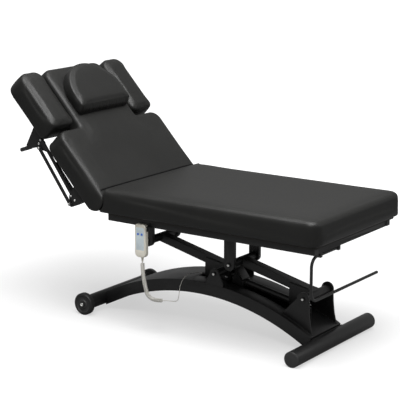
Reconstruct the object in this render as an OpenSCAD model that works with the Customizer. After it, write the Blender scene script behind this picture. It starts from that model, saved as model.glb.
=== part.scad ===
// Height-adjustable massage table: padded seat and hinged back on a parallel-arm lift over an arched base
// Lengths are in millimetres. +X points to the foot end, +Z up, and Y runs across the table.

/* [Upholstery] */
// Width of the upholstery across the table
table_w = 800; // [760:5:860]
// Length of the seat cushion
seat_len = 1175; // [1140:5:1260]
// Thickness of the seat and back cushions
cushion_t = 117; // [110:1:122]
// Height of the seat's face above the floor
seat_top_z = 691; // [680:1:730]
// Corner radius of the cushions seen from above
corner_r = 58; // [40:1:66]
// Rounding along the upper edge of a cushion
top_edge_r = 32; // [20:1:36]
// Rounding along the lower edge of a cushion
low_edge_r = 10; // [5:1:14]
// Rise of a cushion's middle over its rim
crown = 4; // [1:0.5:6]
// Swell of a cushion's sides between their edges
side_swell = 2; // [0.5:0.5:3]
// How far a cushion's sides are drawn in between its corners
draw_in = 2; // [0:0.5:3]
// Thickness of the plywood boards under the cushions
board_t = 12; // [9:1:15]
// How far the boards stand in from the cushion's edge
board_inset = 22; // [16:1:30]

/* [Back] */
// Angle of the back above level as it stands
back_angle = 47; // [30:1:60]
// Length of the back from its hinged end
back_len = 788; // [770:1:820]
// Share of the back's length that is full width
shoulder_share = 0.55; // [0.54:0.005:0.565]
// Share of the table's width that the narrow head part takes
head_share = 0.565; // [0.545:0.005:0.58]
// Diameter of the hinge pins
hinge_pin_d = 12; // [10:1:14]

/* [Armrests and pillow] */
// Gap between the shoulder and an armrest
armrest_gap = 20; // [16:1:24]
// Gap between the head part and an armrest
armrest_side_gap = 6; // [4:1:10]
// Length of the armrest links along the back, from axis to axis
link_run = 314; // [306:1:322]
// Rise of the armrest links towards the cushion
link_rise = 37; // [32:1:42]
// Diameter of the armrest gas spring's tube
spring_d = 18; // [14:1:20]
// Width of the D-shaped head pillow
pillow_w = 385; // [340:5:400]
// Length of the head pillow
pillow_len = 270; // [240:1:280]
// Thickness of the head pillow
pillow_t = 58; // [45:1:65]

/* [Lift] */
// Length of an arm along the table, from axis to axis
arm_run = 408; // [395:1:415]
// Height of an arm's upper axis over its lower one
arm_rise = 98; // [92:1:106]
// Width of an arm's square tube
arm_w = 50; // [44:1:54]
// Height of an arm's square tube
arm_h = 38; // [34:1:40]
// Outer diameter of the cross tubes that the arms turn on
barrel_d = 40; // [34:1:42]
// Diameter of the pivot shafts
shaft_d = 14; // [12:1:18]
// Distance from the arm's lower axis to the pin that the actuator moves
crank_r = 38; // [36:1:40]
// Diameter of the actuator's outer tube
actuator_d = 32; // [26:1:34]
// Diameter of the actuator's rod
rod_d = 14; // [10:1:15]

/* [Base] */
// Distance between the wheel axle and the foot tube
base_len = 1258; // [1240:2:1300]
// Width of the arch
arch_w = 274; // [264:2:284]
// Outer radius of the arch
arch_r = 1230; // [1210:5:1260]
// Thickness of the arch
arch_t = 60; // [54:1:64]
// Height of the arch's crest above the floor
arch_top_z = 239; // [234:1:242]
// Wall thickness of the arch's plates
arch_wall = 5; // [4:0.5:6]
// Diameter of the foot tube
foot_tube_d = 75; // [68:1:80]
// Length of the foot tube
foot_tube_len = 713; // [640:1:760]
// Diameter of the head cross tube
head_tube_d = 70; // [60:1:76]
// Length of the head cross tube
head_tube_len = 506; // [480:2:540]
// Diameter of a wheel
wheel_d = 111; // [100:1:120]
// Width of a wheel
wheel_w = 32; // [26:1:36]

/* [Under the seat] */
// Distance of a rail's outer face from the cushion's edge
rail_inset = 54; // [48:1:66]
// Width of a rail
rail_w = 32; // [28:1:36]
// Height of a rail
rail_h = 33; // [30:1:38]
// Wall thickness of the tubes
tube_wall = 2.5; // [2:0.5:3]
// Width of the posts that reach down to the arms
post_w = 57; // [50:1:62]
// Diameter of the paper roll bar
roll_bar_d = 14; // [10:1:16]
// Height of the bar's free leg above the floor
roll_bar_z = 318; // [306:2:360]

/* [Handset] */
// Width of the handset
handset_w = 62; // [56:1:68]
// Length of the handset
handset_len = 160; // [150:1:166]
// Thickness of the handset
handset_t = 26; // [22:1:30]
// Outer diameter of the curly cord
curl_d = 20; // [18:0.5:21]
// Diameter of the cord itself
cord_d = 3.4; // [3:0.1:3.6]

/* [Hidden] */

// Shared small sizes
$fn = 48;
overrun = 1;
running_fit = 0.05;
side_fit = 1;
open_fit = 0.3;
body_gap = 0.6;
quarter = 90;
half_turn = 180;

// Back hinge: the axis lies at mid-thickness, and the back's end is rounded about it
hinge_r = cushion_t / 2;
shoulder_len = shoulder_share * back_len;
head_w = head_share * table_w;
hinge_x = -hinge_r - body_gap;
hinge_z = seat_top_z - hinge_r;
back_reach = hinge_x - (back_len - side_swell - low_edge_r - hinge_r) * cos(back_angle)
  - (hinge_r - low_edge_r) * sin(back_angle) - low_edge_r;

// Places along the table are measured from the seam between seat and back; this puts the origin at the middle
seam_x = -(seat_len + back_reach) / 2;

// Heights of what lies under the seat cushion
cushion_low_z = seat_top_z - cushion_t;
rail_top_z = cushion_low_z - board_t;
rail_low_z = rail_top_z - rail_h;
rail_y = table_w / 2 - rail_inset;
rail_lead = 6;
rail_start_x = -rail_lead;
rail_end_margin = 42;
rail_end_x = seat_len - rail_end_margin;

// Puts what is drawn from the seam in its place
module from_seam() { translate([seam_x, 0, 0]) children(); }

// Puts what is drawn on the back in its place: x runs from the hinged end, z is the depth under the face
module on_back() {
  from_seam() translate([hinge_x, 0, hinge_z]) rotate([0, back_angle - half_turn, 0])
    translate([-hinge_r, 0, -hinge_r]) children();
}

// The near side is the one at negative Y
module far_side() { mirror([0, 1, 0]) children(); }
module both_sides() { children(); far_side() children(); }

// A flat plate standing in the XZ plane about a place in Y, from its outline
module plate(y, t) { translate([0, y + t / 2, 0]) rotate([quarter, 0, 0]) linear_extrude(t) children(); }

// A round bar along Y from y0 to y1
module y_rod(r, y0, y1) { translate([0, y1, 0]) rotate([quarter, 0, 0]) cylinder(h = y1 - y0, r = r); }

// A pin along Y with a head at its y0 end
module headed_pin(r, y0, y1, head_r, head_t) {
  y_rod(r, y0, y1);
  y_rod(head_r, y0 - head_t, y0);
}

// A square tube along X that starts at the origin and is centred in Y
module x_tube(len, w, h, wall) {
  difference() {
    translate([0, -w / 2, 0]) cube([len, w, h]);
    translate([-overrun, wall - w / 2, wall]) cube([len + 2 * overrun, w - 2 * wall, h - 2 * wall]);
  }
}

// A square tube along Y, centred in Y
module y_tube(len, w, h, wall) {
  difference() {
    translate([0, -len / 2, 0]) cube([w, len, h]);
    translate([wall, -len / 2 - overrun, wall]) cube([w - 2 * wall, len + 2 * overrun, h - 2 * wall]);
  }
}

// Rounded outlines: a corner is [x, y, sign of x outwards, sign of y outwards, radius, hollow,
// side is drawn in]
corner_steps = 5;
sharp_r = 3;
function corner_points(c, inset) =
  let(r = c[5] ? c[4] + inset : max(c[4] - inset, sharp_r),
      turn = c[5] ? -1 : 1,
      vertex = [c[0] - inset * c[2], c[1] - inset * c[3]],
      centre = [vertex[0] - turn * r * c[2], vertex[1] - turn * r * c[3]],
      mid = atan2(turn * c[3], turn * c[2]))
  [for (i = [0:corner_steps]) let(a = mid + turn * quarter * (i / corner_steps - 1 / 2))
    [centre[0] + r * cos(a), centre[1] + r * sin(a)]];
function side_point(from, to, pull) =
  let(run = to - from, len = norm(run)) (from + to) / 2 + pull * [-run[1], run[0]] / len;
function outline(corners, inset) =
  let(n = len(corners), arcs = [for (c = corners) corner_points(c, inset)])
  [for (k = [0:n - 1]) each concat(arcs[k],
    corners[k][6] ? [side_point(arcs[k][corner_steps], arcs[(k + 1) % n][0], draw_in)] : [])];
function box_corners(x0, x1, y0, y1, r0, r1) =
  [[x1, y0, 1, -1, r1, false, true], [x1, y1, 1, 1, r1, false, true],
   [x0, y1, -1, 1, r0, false, false], [x0, y0, -1, -1, r0, false, true]];

// A cushion's levels as [inset, depth]: crown, rounded top edge, swelling side, rounded lower edge
edge_steps = 4;
low_steps = 2;
function levels(t, r, low_r, rise, swell, flat) = concat(
  [[flat, 0], [(flat + r) / 2, rise / 4]],
  [for (i = [0:edge_steps]) let(a = quarter * i / edge_steps) [swell + r * (1 - sin(a)),
    rise + r * (1 - cos(a))]],
  [for (i = [1:3]) let(top = rise + r, low = t - low_r)
    [swell * pow(i - 2, 2) / 2, top + (low - top) * i / 4]],
  [for (i = [0:low_steps]) let(a = quarter * i / low_steps)
    [swell + low_r * (1 - cos(a)), t - low_r * (1 - sin(a))]]);

// A closed skin over rings of equal length; the first and last are flat, and are closed in one or more parts
module skin(rings, parts) {
  n = len(rings[0]);
  last = len(rings) - 1;
  ends = is_undef(parts) ? [[for (i = [0:n - 1]) i]] : parts;
  polyhedron(
    points = [for (ring = rings) each ring],
    faces = concat(
      ends,
      [for (j = [0:last - 1], i = [0:n - 1]) each [
        [j * n + i, (j + 1) * n + i, (j + 1) * n + (i + 1) % n],
        [j * n + i, (j + 1) * n + (i + 1) % n, j * n + (i + 1) % n]]],
      [for (part = ends) [for (i = [len(part) - 1:-1:0]) last * n + part[i]]]));
}
module cushion_skin(rows, corner_rows, parts) {
  skin([for (j = [0:len(rows) - 1]) [for (p = outline(corner_rows[j], rows[j][0])) [p[0], p[1],
    rows[j][1]]]], parts);
}

// The base: a curved box section whose circle has its centre under the crest
head_tube_lead = 228;
head_tube_x = -head_tube_lead;
foot_tube_x = head_tube_x + base_len;
arch_x = 385;
arch_centre_z = arch_top_z - arch_r;
arch_fn = 360;
head_cut = 28;
foot_cut = 30;
slot_start_x = 306;
slot_step_x = 474;
slot_end_x = 850;
slot_narrow_w = 86;
slot_wide_w = 116;
function arch_z(x, r) = arch_centre_z + sqrt(pow(r, 2) - pow(x - arch_x, 2));

module arch_sector(r_out, r_in, w) {
  translate([arch_x, w / 2, arch_centre_z]) rotate([quarter, 0, 0]) difference() {
    cylinder(h = w, r = r_out, $fn = arch_fn);
    translate([0, 0, -overrun]) cylinder(h = w + 2 * overrun, r = r_in, $fn = arch_fn);
  }
}

module arch_slot(x0, x1, w) {
  intersection() {
    arch_sector(arch_r + overrun, arch_r - arch_wall - overrun, w);
    translate([x0, -w, 0]) cube([x1 - x0, 2 * w, arch_top_z + 2 * overrun]);
  }
}

module base_arch() {
  color("#1d1d1d") from_seam() difference() {
    intersection() {
      arch_sector(arch_r, arch_r - arch_t, arch_w);
      translate([head_tube_x + head_cut, -arch_w, 0])
        cube([base_len - head_cut - foot_cut, 2 * arch_w, arch_top_z + overrun]);
    }
    arch_sector(arch_r - arch_wall, arch_r - arch_t + arch_wall, arch_w - 2 * arch_wall);
    arch_slot(slot_start_x, slot_step_x + overrun, slot_narrow_w);
    arch_slot(slot_step_x, slot_end_x, slot_wide_w);
    translate([head_tube_x, 0, wheel_d / 2]) y_rod(head_tube_d / 2, -arch_w, arch_w);
    translate([foot_tube_x, 0, foot_tube_d / 2]) y_rod(foot_tube_d / 2, -arch_w, arch_w);
  }
}

foot_tube_wall = 4;
cap_t = 4;
cap_plug_len = 18;
cap_edge_r = 2;
module foot_tube() {
  color("#1d1d1d") from_seam() translate([foot_tube_x, 0, foot_tube_d / 2]) difference() {
    y_rod(foot_tube_d / 2, cap_t - foot_tube_len / 2, foot_tube_len / 2 - cap_t);
    y_rod(foot_tube_d / 2 - foot_tube_wall, -foot_tube_len, foot_tube_len);
  }
}
module foot_tube_caps() {
  color("#161616") from_seam() translate([foot_tube_x, 0, foot_tube_d / 2]) both_sides()
    translate([0, -foot_tube_len / 2, 0]) rotate([-quarter, 0, 0]) rotate_extrude()
      polygon([[0, 0], [foot_tube_d / 2 - cap_edge_r, 0], [foot_tube_d / 2, cap_edge_r],
        [foot_tube_d / 2, cap_t],
        [foot_tube_d / 2 - foot_tube_wall, cap_t], [foot_tube_d / 2 - foot_tube_wall, cap_plug_len],
        [0, cap_plug_len]]);
}

// The wheels turn on bolts in the plugged ends of the head cross tube
head_tube_wall = 4;
head_plug_len = 24;
axle_d = 14;
axle_head_r = 12;
axle_head_t = 6;
module head_tube() {
  color("#1d1d1d") from_seam() translate([head_tube_x, 0, wheel_d / 2]) difference() {
    y_rod(head_tube_d / 2, -head_tube_len / 2, head_tube_len / 2);
    y_rod(head_tube_d / 2 - head_tube_wall, head_plug_len - head_tube_len / 2,
      head_tube_len / 2 - head_plug_len);
    y_rod(axle_d / 2 + running_fit, -head_tube_len, head_tube_len);
  }
}
tyre_depth = 14;
tyre_round = 5;
hub_step = 5;
hub_boss_r = 20;
wheel_y = head_tube_len / 2 + side_fit + wheel_w / 2;
module wheel_place() { from_seam() translate([head_tube_x, -wheel_y, wheel_d / 2])
  rotate([-quarter, 0, 0]) children(); }
module wheel_tyre() {
  wheel_place() rotate_extrude()
    polygon([[wheel_d / 2 - tyre_depth, -wheel_w / 2], [wheel_d / 2 - tyre_round, -wheel_w / 2],
      [wheel_d / 2, tyre_round - wheel_w / 2], [wheel_d / 2, wheel_w / 2 - tyre_round],
      [wheel_d / 2 - tyre_round, wheel_w / 2], [wheel_d / 2 - tyre_depth, wheel_w / 2]]);
}
module wheel_hub() {
  wheel_place() rotate_extrude()
    polygon([[axle_d / 2 + running_fit, -wheel_w / 2], [hub_boss_r, -wheel_w / 2],
      [hub_boss_r + hub_step, hub_step - wheel_w / 2], [wheel_d / 2 - tyre_depth - hub_step,
        hub_step - wheel_w / 2],
      [wheel_d / 2 - tyre_depth, -wheel_w / 2], [wheel_d / 2 - tyre_depth, wheel_w / 2],
      [axle_d / 2 + running_fit, wheel_w / 2]]);
}
module near_wheel_tyre() { color("#141414") wheel_tyre(); }
module near_wheel_hub() { color("#1f1f1f") wheel_hub(); }
module far_wheel_tyre() { color("#141414") far_side() wheel_tyre(); }
module far_wheel_hub() { color("#1f1f1f") far_side() wheel_hub(); }

// The lift's four pivots
arm_a_x = 463;
arm_a_z = 291;
arm_b_x = 942;
arm_b_z = 243;
arm_angle = atan2(arm_rise, arm_run);
arm_len = norm([arm_run, arm_rise]);
upper_a_x = arm_a_x - arm_run;
upper_b_x = arm_b_x - arm_run;
bracket_t = 8;
mid_bracket_y = arch_w / 2 - bracket_t / 2;
mid_bracket_reach = 49;
bracket_boss_r = 26;
bracket_sink = 12;
foot_bracket_y = 110;
foot_boss_r = 32;
foot_bracket_left = 113;
foot_bracket_right = 54;
foot_flare_share = [[0.56, 0.1], [0.6, 0.35], [0.72, 0.65], [1, 1]];
post_t = 20;
post_y = 108;
bolt_head_rim = 2;
bolt_head_r = shaft_d / 2 + bolt_head_rim;
bolt_head_t = 6;
foot_bracket_h = arm_b_z - arch_z(arm_b_x + foot_bracket_right, arch_r) + bracket_sink;

module mid_brackets() {
  color("#1d1d1d") from_seam() difference() {
    both_sides() plate(-mid_bracket_y, bracket_t) {
      translate([arm_a_x, arm_a_z]) circle(bracket_boss_r);
      polygon([[arm_a_x - mid_bracket_reach, arch_z(arm_a_x, arch_r) - bracket_sink],
        [arm_a_x + mid_bracket_reach, arch_z(arm_a_x, arch_r) - bracket_sink],
        [arm_a_x + mid_bracket_reach, arch_z(arm_a_x, arch_r) + bracket_sink],
        [arm_a_x + bracket_boss_r, arm_a_z], [arm_a_x - bracket_boss_r, arm_a_z],
        [arm_a_x - mid_bracket_reach, arch_z(arm_a_x, arch_r) + bracket_sink]]);
    }
    translate([arm_a_x, 0, arm_a_z]) y_rod(shaft_d / 2 + running_fit, -arch_w, arch_w);
    translate([arch_x, 0, arch_centre_z]) rotate([quarter, 0, 0])
      cylinder(h = 2 * arch_w, r = arch_r, center = true, $fn = arch_fn);
  }
}

module foot_brackets() {
  color("#1d1d1d") from_seam() difference() {
    both_sides() plate(-foot_bracket_y, bracket_t) {
      translate([arm_b_x, arm_b_z]) circle(foot_boss_r);
      polygon(concat([[arm_b_x - foot_bracket_left, arm_b_z - foot_bracket_h],
        [arm_b_x - foot_bracket_left, arch_z(arm_b_x - foot_bracket_left, arch_r) + overrun],
        [arm_b_x - foot_boss_r, arm_b_z]],
        [for (s = foot_flare_share) [arm_b_x + foot_bracket_right * s[0],
          arm_b_z - foot_bracket_h * s[1]]]));
    }
    translate([arm_b_x, 0, arm_b_z]) y_rod(shaft_d / 2 + running_fit, -arch_w, arch_w);
    translate([arch_x, 0, arch_centre_z]) rotate([quarter, 0, 0])
      cylinder(h = 2 * arch_w, r = arch_r, center = true, $fn = arch_fn);
  }
}

// The actuator lies on the line from the crank pin to the pin that holds its rod
rod_pin_x = 890;
rod_pin_z = 172;
crank_angle = 2.6;
crank_x = arm_a_x + crank_r * sin(crank_angle);
crank_z = arm_a_z - crank_r * cos(crank_angle);
actuator_run = rod_pin_x - crank_x;
actuator_drop = crank_z - rod_pin_z;
actuator_angle = atan2(actuator_drop, actuator_run);
actuator_len = norm([actuator_run, actuator_drop]);
crank_pin_d = 14;
crank_clearance = 1.6;
rod_boss_r = 15;
rod_boss_w = 20;
rod_lug_t = 5;
rod_lug_w = 44;
rod_lug_reach = 34;
rod_end_inside = 240;
motor_eye_r = 15;
motor_start = 30;
motor_end = 96;
motor_tube_end = 390;
motor_w = 60;
motor_up = 12;
motor_down = 22;
motor_back = 36.5;
motor_face = [[89.5, 17.4], [40.5, 61.6]];
motor_face_drop = 6;
motor_neck_h = 16;
motor_neck_w = 26;
motor_rib_count = 3;
motor_rib_depth = 2;
motor_rib_w = 3;
motor_rib_pitch = 7;
tube_collar_len = 14;
tube_collar = 4;

// Puts what is drawn along the actuator in its place: x runs from the crank pin to the rod's pin
module on_actuator() {
  from_seam() translate([crank_x, 0, crank_z]) rotate([0, actuator_angle, 0]) children();
}

module base_pins() {
  color("#c9c9c9") from_seam() {
    translate([arm_a_x, 0, arm_a_z]) headed_through_shaft(mid_bracket_y + bracket_t / 2);
    translate([arm_b_x, 0, arm_b_z]) headed_through_shaft(foot_bracket_y + bracket_t / 2);
    translate([rod_pin_x, 0, rod_pin_z]) y_rod(crank_pin_d / 2, -rod_lug_w / 2, rod_lug_w / 2);
    both_sides() translate([head_tube_x, 0, wheel_d / 2])
      headed_pin(axle_d / 2, -wheel_y - wheel_w / 2 - side_fit, head_plug_len - head_tube_len / 2,
        axle_head_r, axle_head_t);
  }
}
module headed_through_shaft(half) {
  y_rod(shaft_d / 2, -half, half);
  both_sides() y_rod(bolt_head_r, -half - bolt_head_t, -half);
}

// The rod with its eye, and the lugs on the arch that hold it
module actuator_rod() {
  color("#9a9a9a") {
    on_actuator() difference() {
      union() {
        translate([actuator_len, 0, 0]) y_rod(rod_boss_r, -rod_boss_w / 2, rod_boss_w / 2);
        translate([rod_end_inside, 0, 0]) rotate([0, quarter, 0])
          cylinder(h = actuator_len - rod_end_inside, r = rod_d / 2);
      }
      translate([actuator_len, 0, 0]) y_rod(crank_pin_d / 2 + running_fit, -rod_lug_w, rod_lug_w);
    }
    from_seam() difference() {
      both_sides() plate(rod_lug_t / 2 - rod_lug_w / 2, rod_lug_t) {
        translate([rod_pin_x, rod_pin_z]) circle(rod_boss_r + side_fit);
        polygon([[rod_pin_x - rod_lug_reach, arch_z(rod_pin_x, arch_r) - bracket_sink],
          [rod_pin_x + rod_lug_w / 2, arch_z(rod_pin_x, arch_r) - 2 * bracket_sink],
          [rod_pin_x + rod_boss_r, rod_pin_z], [rod_pin_x - rod_boss_r, rod_pin_z]]);
      }
      translate([rod_pin_x, 0, rod_pin_z]) y_rod(crank_pin_d / 2 + running_fit, -rod_lug_w, rod_lug_w);
      translate([arch_x, 0, arch_centre_z]) rotate([quarter, 0, 0])
        cylinder(h = 2 * arch_w, r = arch_r, center = true, $fn = arch_fn);
    }
  }
}

// The motor's gear housing with its eye, and the outer tube that the rod slides in
module motor_housing() {
  run = motor_face[1] - motor_face[0];
  lean = atan2(-run[0], run[1]);
  drop = motor_face_drop * [cos(lean), sin(lean)];
  color("#111111") on_actuator() difference() {
    union() {
      y_rod(motor_eye_r, -motor_neck_w / 2, motor_neck_w / 2);
      translate([0, -motor_neck_w / 2, -motor_neck_h / 2])
        cube([motor_start + overrun, motor_neck_w, motor_neck_h]);
      plate(0, motor_w) polygon([[motor_start, -motor_down], [motor_end, -motor_down], [motor_end, motor_up],
        [motor_face[0][0] - (motor_face[0][1] - motor_up) / tan(lean), motor_up],
        motor_face[0], motor_face[1],
        motor_face[1] - drop, [motor_back, motor_face[1][1] - 2 * drop[1]], [motor_back, motor_up],
        [motor_start, motor_up]]);
    }
    y_rod(crank_pin_d / 2 + crank_clearance, -motor_w, motor_w);
    for (i = [1:motor_rib_count]) both_sides()
      translate([motor_face[0][0], -motor_w / 2 - overrun, motor_face[0][1]]) rotate([0, -lean, 0])
        translate([-i * motor_rib_pitch, 0, 0]) cube([motor_rib_w, motor_rib_depth + overrun, 2 * norm(run)]);
    translate([motor_end - rod_end_inside / 4, 0, 0]) rotate([0, quarter, 0])
      cylinder(h = rod_end_inside, r = rod_d / 2 + running_fit);
  }
}
module motor_tube() {
  color("#0f0f0f") on_actuator() translate([motor_end, 0, 0]) rotate([0, quarter, 0]) difference() {
    union() {
      cylinder(h = motor_tube_end - motor_end, r = actuator_d / 2);
      cylinder(h = tube_collar_len, r = actuator_d / 2 + tube_collar);
    }
    translate([0, 0, -overrun]) cylinder(h = actuator_len, r = rod_d / 2 + running_fit);
  }
}

// An arm: a square tube between two cross barrels, with side plates that come down beside its lower barrel
gusset_t = 6;
gusset_reach = 126;
lower_barrel_a = 2 * (mid_bracket_y - bracket_t / 2 - side_fit);
lower_barrel_b = 2 * (foot_bracket_y - bracket_t / 2 - side_fit);
upper_barrel = 2 * (post_y - post_t / 2 - side_fit);
gusset_a_share = [[-1, -0.14], [-1, -0.67], [-0.36, -0.73], [0.12, -0.44], [0.16, -0.3], [0.16, 0]];
gusset_b_share = [[-1, -0.14], [-1, -0.6], [-0.05, -0.16], [0.16, 0]];
module arm(lower_barrel, gusset_share, upper_fit) {
  difference() {
    union() {
      y_rod(barrel_d / 2, -lower_barrel / 2, lower_barrel / 2);
      rotate([0, arm_angle, 0]) translate([-arm_len, 0, -arm_h / 2])
        x_tube(arm_len, arm_w, arm_h, tube_wall);
      translate([-arm_run, 0, arm_rise]) y_rod(barrel_d / 2, -upper_barrel / 2, upper_barrel / 2);
      both_sides() plate(-(arm_w + gusset_t) / 2, gusset_t)
        polygon(concat([for (s = gusset_share) gusset_reach * s],
          [[0, barrel_d / 2], [-gusset_reach, gusset_reach * tan(arm_angle) + arm_h / 4]]));
    }
    y_rod(shaft_d / 2 + running_fit, -lower_barrel, lower_barrel);
    translate([-arm_run, 0, arm_rise]) y_rod(shaft_d / 2 + upper_fit, -lower_barrel, lower_barrel);
  }
}
module arm_a() {
  color("#1d1d1d") difference() {
    from_seam() translate([arm_a_x, 0, arm_a_z]) arm(lower_barrel_a, gusset_a_share, running_fit);
    on_actuator() y_rod(crank_pin_d / 2 + running_fit, -arch_w, arch_w);
  }
}
module arm_b() {
  color("#1d1d1d") from_seam() translate([arm_b_x, 0, arm_b_z])
    arm(lower_barrel_b, gusset_b_share, open_fit);
}
module crank_pin() {
  color("#b5b5b5") on_actuator() y_rod(crank_pin_d / 2, -arm_w / 2 - gusset_t, arm_w / 2 + gusset_t);
}

// The control box between the head arm's side plates, with its mains inlet and the handset's plug
box_right = 44;
box_left = 122;
box_top = 22;
box_low = 76;
box_w = 48;
inlet_w = 28;
inlet_h = 18;
inlet_len = 8;
inlet_wall = 2;
inlet_depth = 6;
inlet_z = 258;
blade_w = 2;
blade_h = 5;
blade_pitch = 7;
plug_x = 307;
plug_side = 12;
plug_y = -plug_side;
plug_z = 241;
plug_d = 12;
plug_tip_d = 7;
plug_tip_len = 10;
module control_box() {
  color("#161616") from_seam() translate([arm_a_x, 0, arm_a_z])
    translate([-box_left, -box_w / 2, -box_low]) cube([box_left - box_right, box_w, box_low - box_top]);
}
module mains_inlet() {
  color("#0c0c0c") from_seam() translate([arm_a_x - box_left - inlet_len, 0, inlet_z]) {
    difference() {
      translate([0, -inlet_w / 2, -inlet_h / 2]) cube([inlet_len, inlet_w, inlet_h]);
      translate([-overrun, inlet_wall - inlet_w / 2, inlet_wall - inlet_h / 2])
        cube([inlet_depth + overrun, inlet_w - 2 * inlet_wall, inlet_h - 2 * inlet_wall]);
    }
    for (k = [-1:1]) translate([blade_w, k * blade_pitch - blade_w / 2, -blade_h / 2])
      cube([inlet_depth, blade_w, blade_h]);
  }
}
module cord_plug() {
  color("#101010") from_seam() translate([plug_x, plug_y, plug_z]) rotate([0, quarter, 0]) {
    cylinder(h = plug_tip_len, r1 = plug_tip_d / 2, r2 = plug_d / 2);
    translate([0, 0, plug_tip_len]) cylinder(h = arm_a_x - box_left - plug_x - plug_tip_len,
      r = plug_d / 2);
  }
}

// The frame under the seat: a ring of rails, tubes across it, and posts down to the arms
module rails() {
  color("#1d1d1d") from_seam() translate([0, 0, rail_low_z]) {
    both_sides() translate([rail_start_x, rail_w / 2 - rail_y, 0])
      x_tube(rail_end_x - rail_start_x, rail_w, rail_h, tube_wall);
    for (x = [rail_start_x, rail_end_x - rail_w])
      translate([x, 0, 0]) y_tube(2 * (rail_y - rail_w), rail_w, rail_h, tube_wall);
  }
}
module cross_tubes() {
  color("#1d1d1d") from_seam() translate([0, 0, rail_low_z])
    for (x = [upper_a_x, upper_b_x, (upper_b_x + rail_end_x) / 2])
    translate([x - post_w / 2, 0, 0]) y_tube(2 * (rail_y - rail_w), post_w, rail_h, tube_wall);
}
module posts() {
  color("#1d1d1d") from_seam() for (p = [[upper_a_x, arm_a_z], [upper_b_x, arm_b_z]]) difference() {
    both_sides() plate(-post_y, post_t) {
      translate([p[0], p[1] + arm_rise]) circle(post_w / 2);
      translate([p[0] - post_w / 2, p[1] + arm_rise]) square([post_w, rail_low_z - p[1] - arm_rise]);
    }
    translate([p[0], 0, p[1] + arm_rise]) y_rod(shaft_d / 2 + running_fit, -arch_w, arch_w);
  }
}
module upper_shafts() {
  color("#c9c9c9") from_seam() for (p = [[upper_a_x, arm_a_z], [upper_b_x, arm_b_z]])
    translate([p[0], 0, p[1] + arm_rise]) headed_through_shaft(post_y + post_t / 2);
}

// The seat: a plywood board and a cushion whose head end is cut back round the back's rounded end
cove_gap = 2;
lip_reach = 42;
lip_x = -lip_reach;
seam_edge_r = 8;
seat_corner_r = 10;
seat_flat = 150;
function seat_end(depth) = depth < seam_edge_r
  ? seam_edge_r - sqrt(pow(seam_edge_r, 2) - pow(seam_edge_r - depth, 2))
  : depth <= hinge_r ? 0
  : max(min(hinge_x + sqrt(max(pow(hinge_r + cove_gap, 2) - pow(depth - hinge_r, 2), 0)), 0), lip_x);
function cushion_levels() = levels(cushion_t, top_edge_r, low_edge_r, crown, side_swell, seat_flat);
module seat_board() {
  color("#5f4a32") from_seam() translate([0, 0, rail_top_z]) linear_extrude(board_t)
    polygon(outline(box_corners(rail_start_x, seat_len, -table_w / 2, table_w / 2, seat_corner_r,
      corner_r), board_inset));
}
module seat_cushion() {
  rows = cushion_levels();
  color("#222220") from_seam() translate([0, 0, seat_top_z]) mirror([0, 0, 1])
    cushion_skin(rows, [for (row = rows)
      box_corners(seat_end(row[1]) - row[0], seat_len, -table_w / 2, table_w / 2, seat_corner_r,
        corner_r)]);
}

// The back: a T-shaped cushion on a board and a frame, with slots for its hinges
hinge_y = 190;
ear_t = 8;
lug_t = 5;
ear_w = 28;
ear_foot_h = 26;
hinge_slot_w = 26;
hinge_slot_end = 128;
hinge_slot_top = 36;
head_seam_w = 0.4;
lug_end = 176;
lug_boss_r = 14;
back_tube = 30;
back_tube_y = hinge_y;
back_tube_start = 146;
back_tube_margin = 60;
back_board_start = 130;
outrigger_s = 150;
back_flat = 110;
function back_end(depth) = hinge_r - sqrt(max(pow(hinge_r, 2) - pow(depth - hinge_r, 2), 0));
function back_corners(end, r) = [
  [end, -table_w / 2, -1, -1, r, false, true],
  [shoulder_len, -table_w / 2, 1, -1, corner_r, false, false],
  [shoulder_len, -head_w / 2, 1, -1, seat_corner_r, true, false],
  [back_len, -head_w / 2, 1, -1, corner_r, false, true],
  [back_len, head_w / 2, 1, 1, corner_r, false, false],
  [shoulder_len, head_w / 2, 1, 1, seat_corner_r, true, false],
  [shoulder_len, table_w / 2, 1, 1, corner_r, false, true],
  [end, table_w / 2, -1, 1, r, false, false]];
// A ring of the back is closed in parts: the shoulders, the neck between the hollow corners, and the head
near_hollow = 2 * corner_steps + 3;
far_hollow = near_hollow + 4 * (corner_steps + 1);
back_ring_len = far_hollow + 2 * (corner_steps + 1) + 2;
back_parts = concat(
  [concat([for (i = [0:near_hollow]) i], [for (i = [far_hollow:back_ring_len - 1]) i])],
  [for (k = [0:corner_steps - 1])
    [near_hollow + k, near_hollow + k + 1, far_hollow - k - 1, far_hollow - k]],
  [[for (i = [near_hollow + corner_steps:far_hollow - corner_steps]) i]]);
module back_board() {
  color("#5f4a32") on_back() translate([0, 0, cushion_t]) linear_extrude(board_t)
    polygon(outline(back_corners(back_board_start - board_inset, seat_corner_r), board_inset));
}
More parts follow.
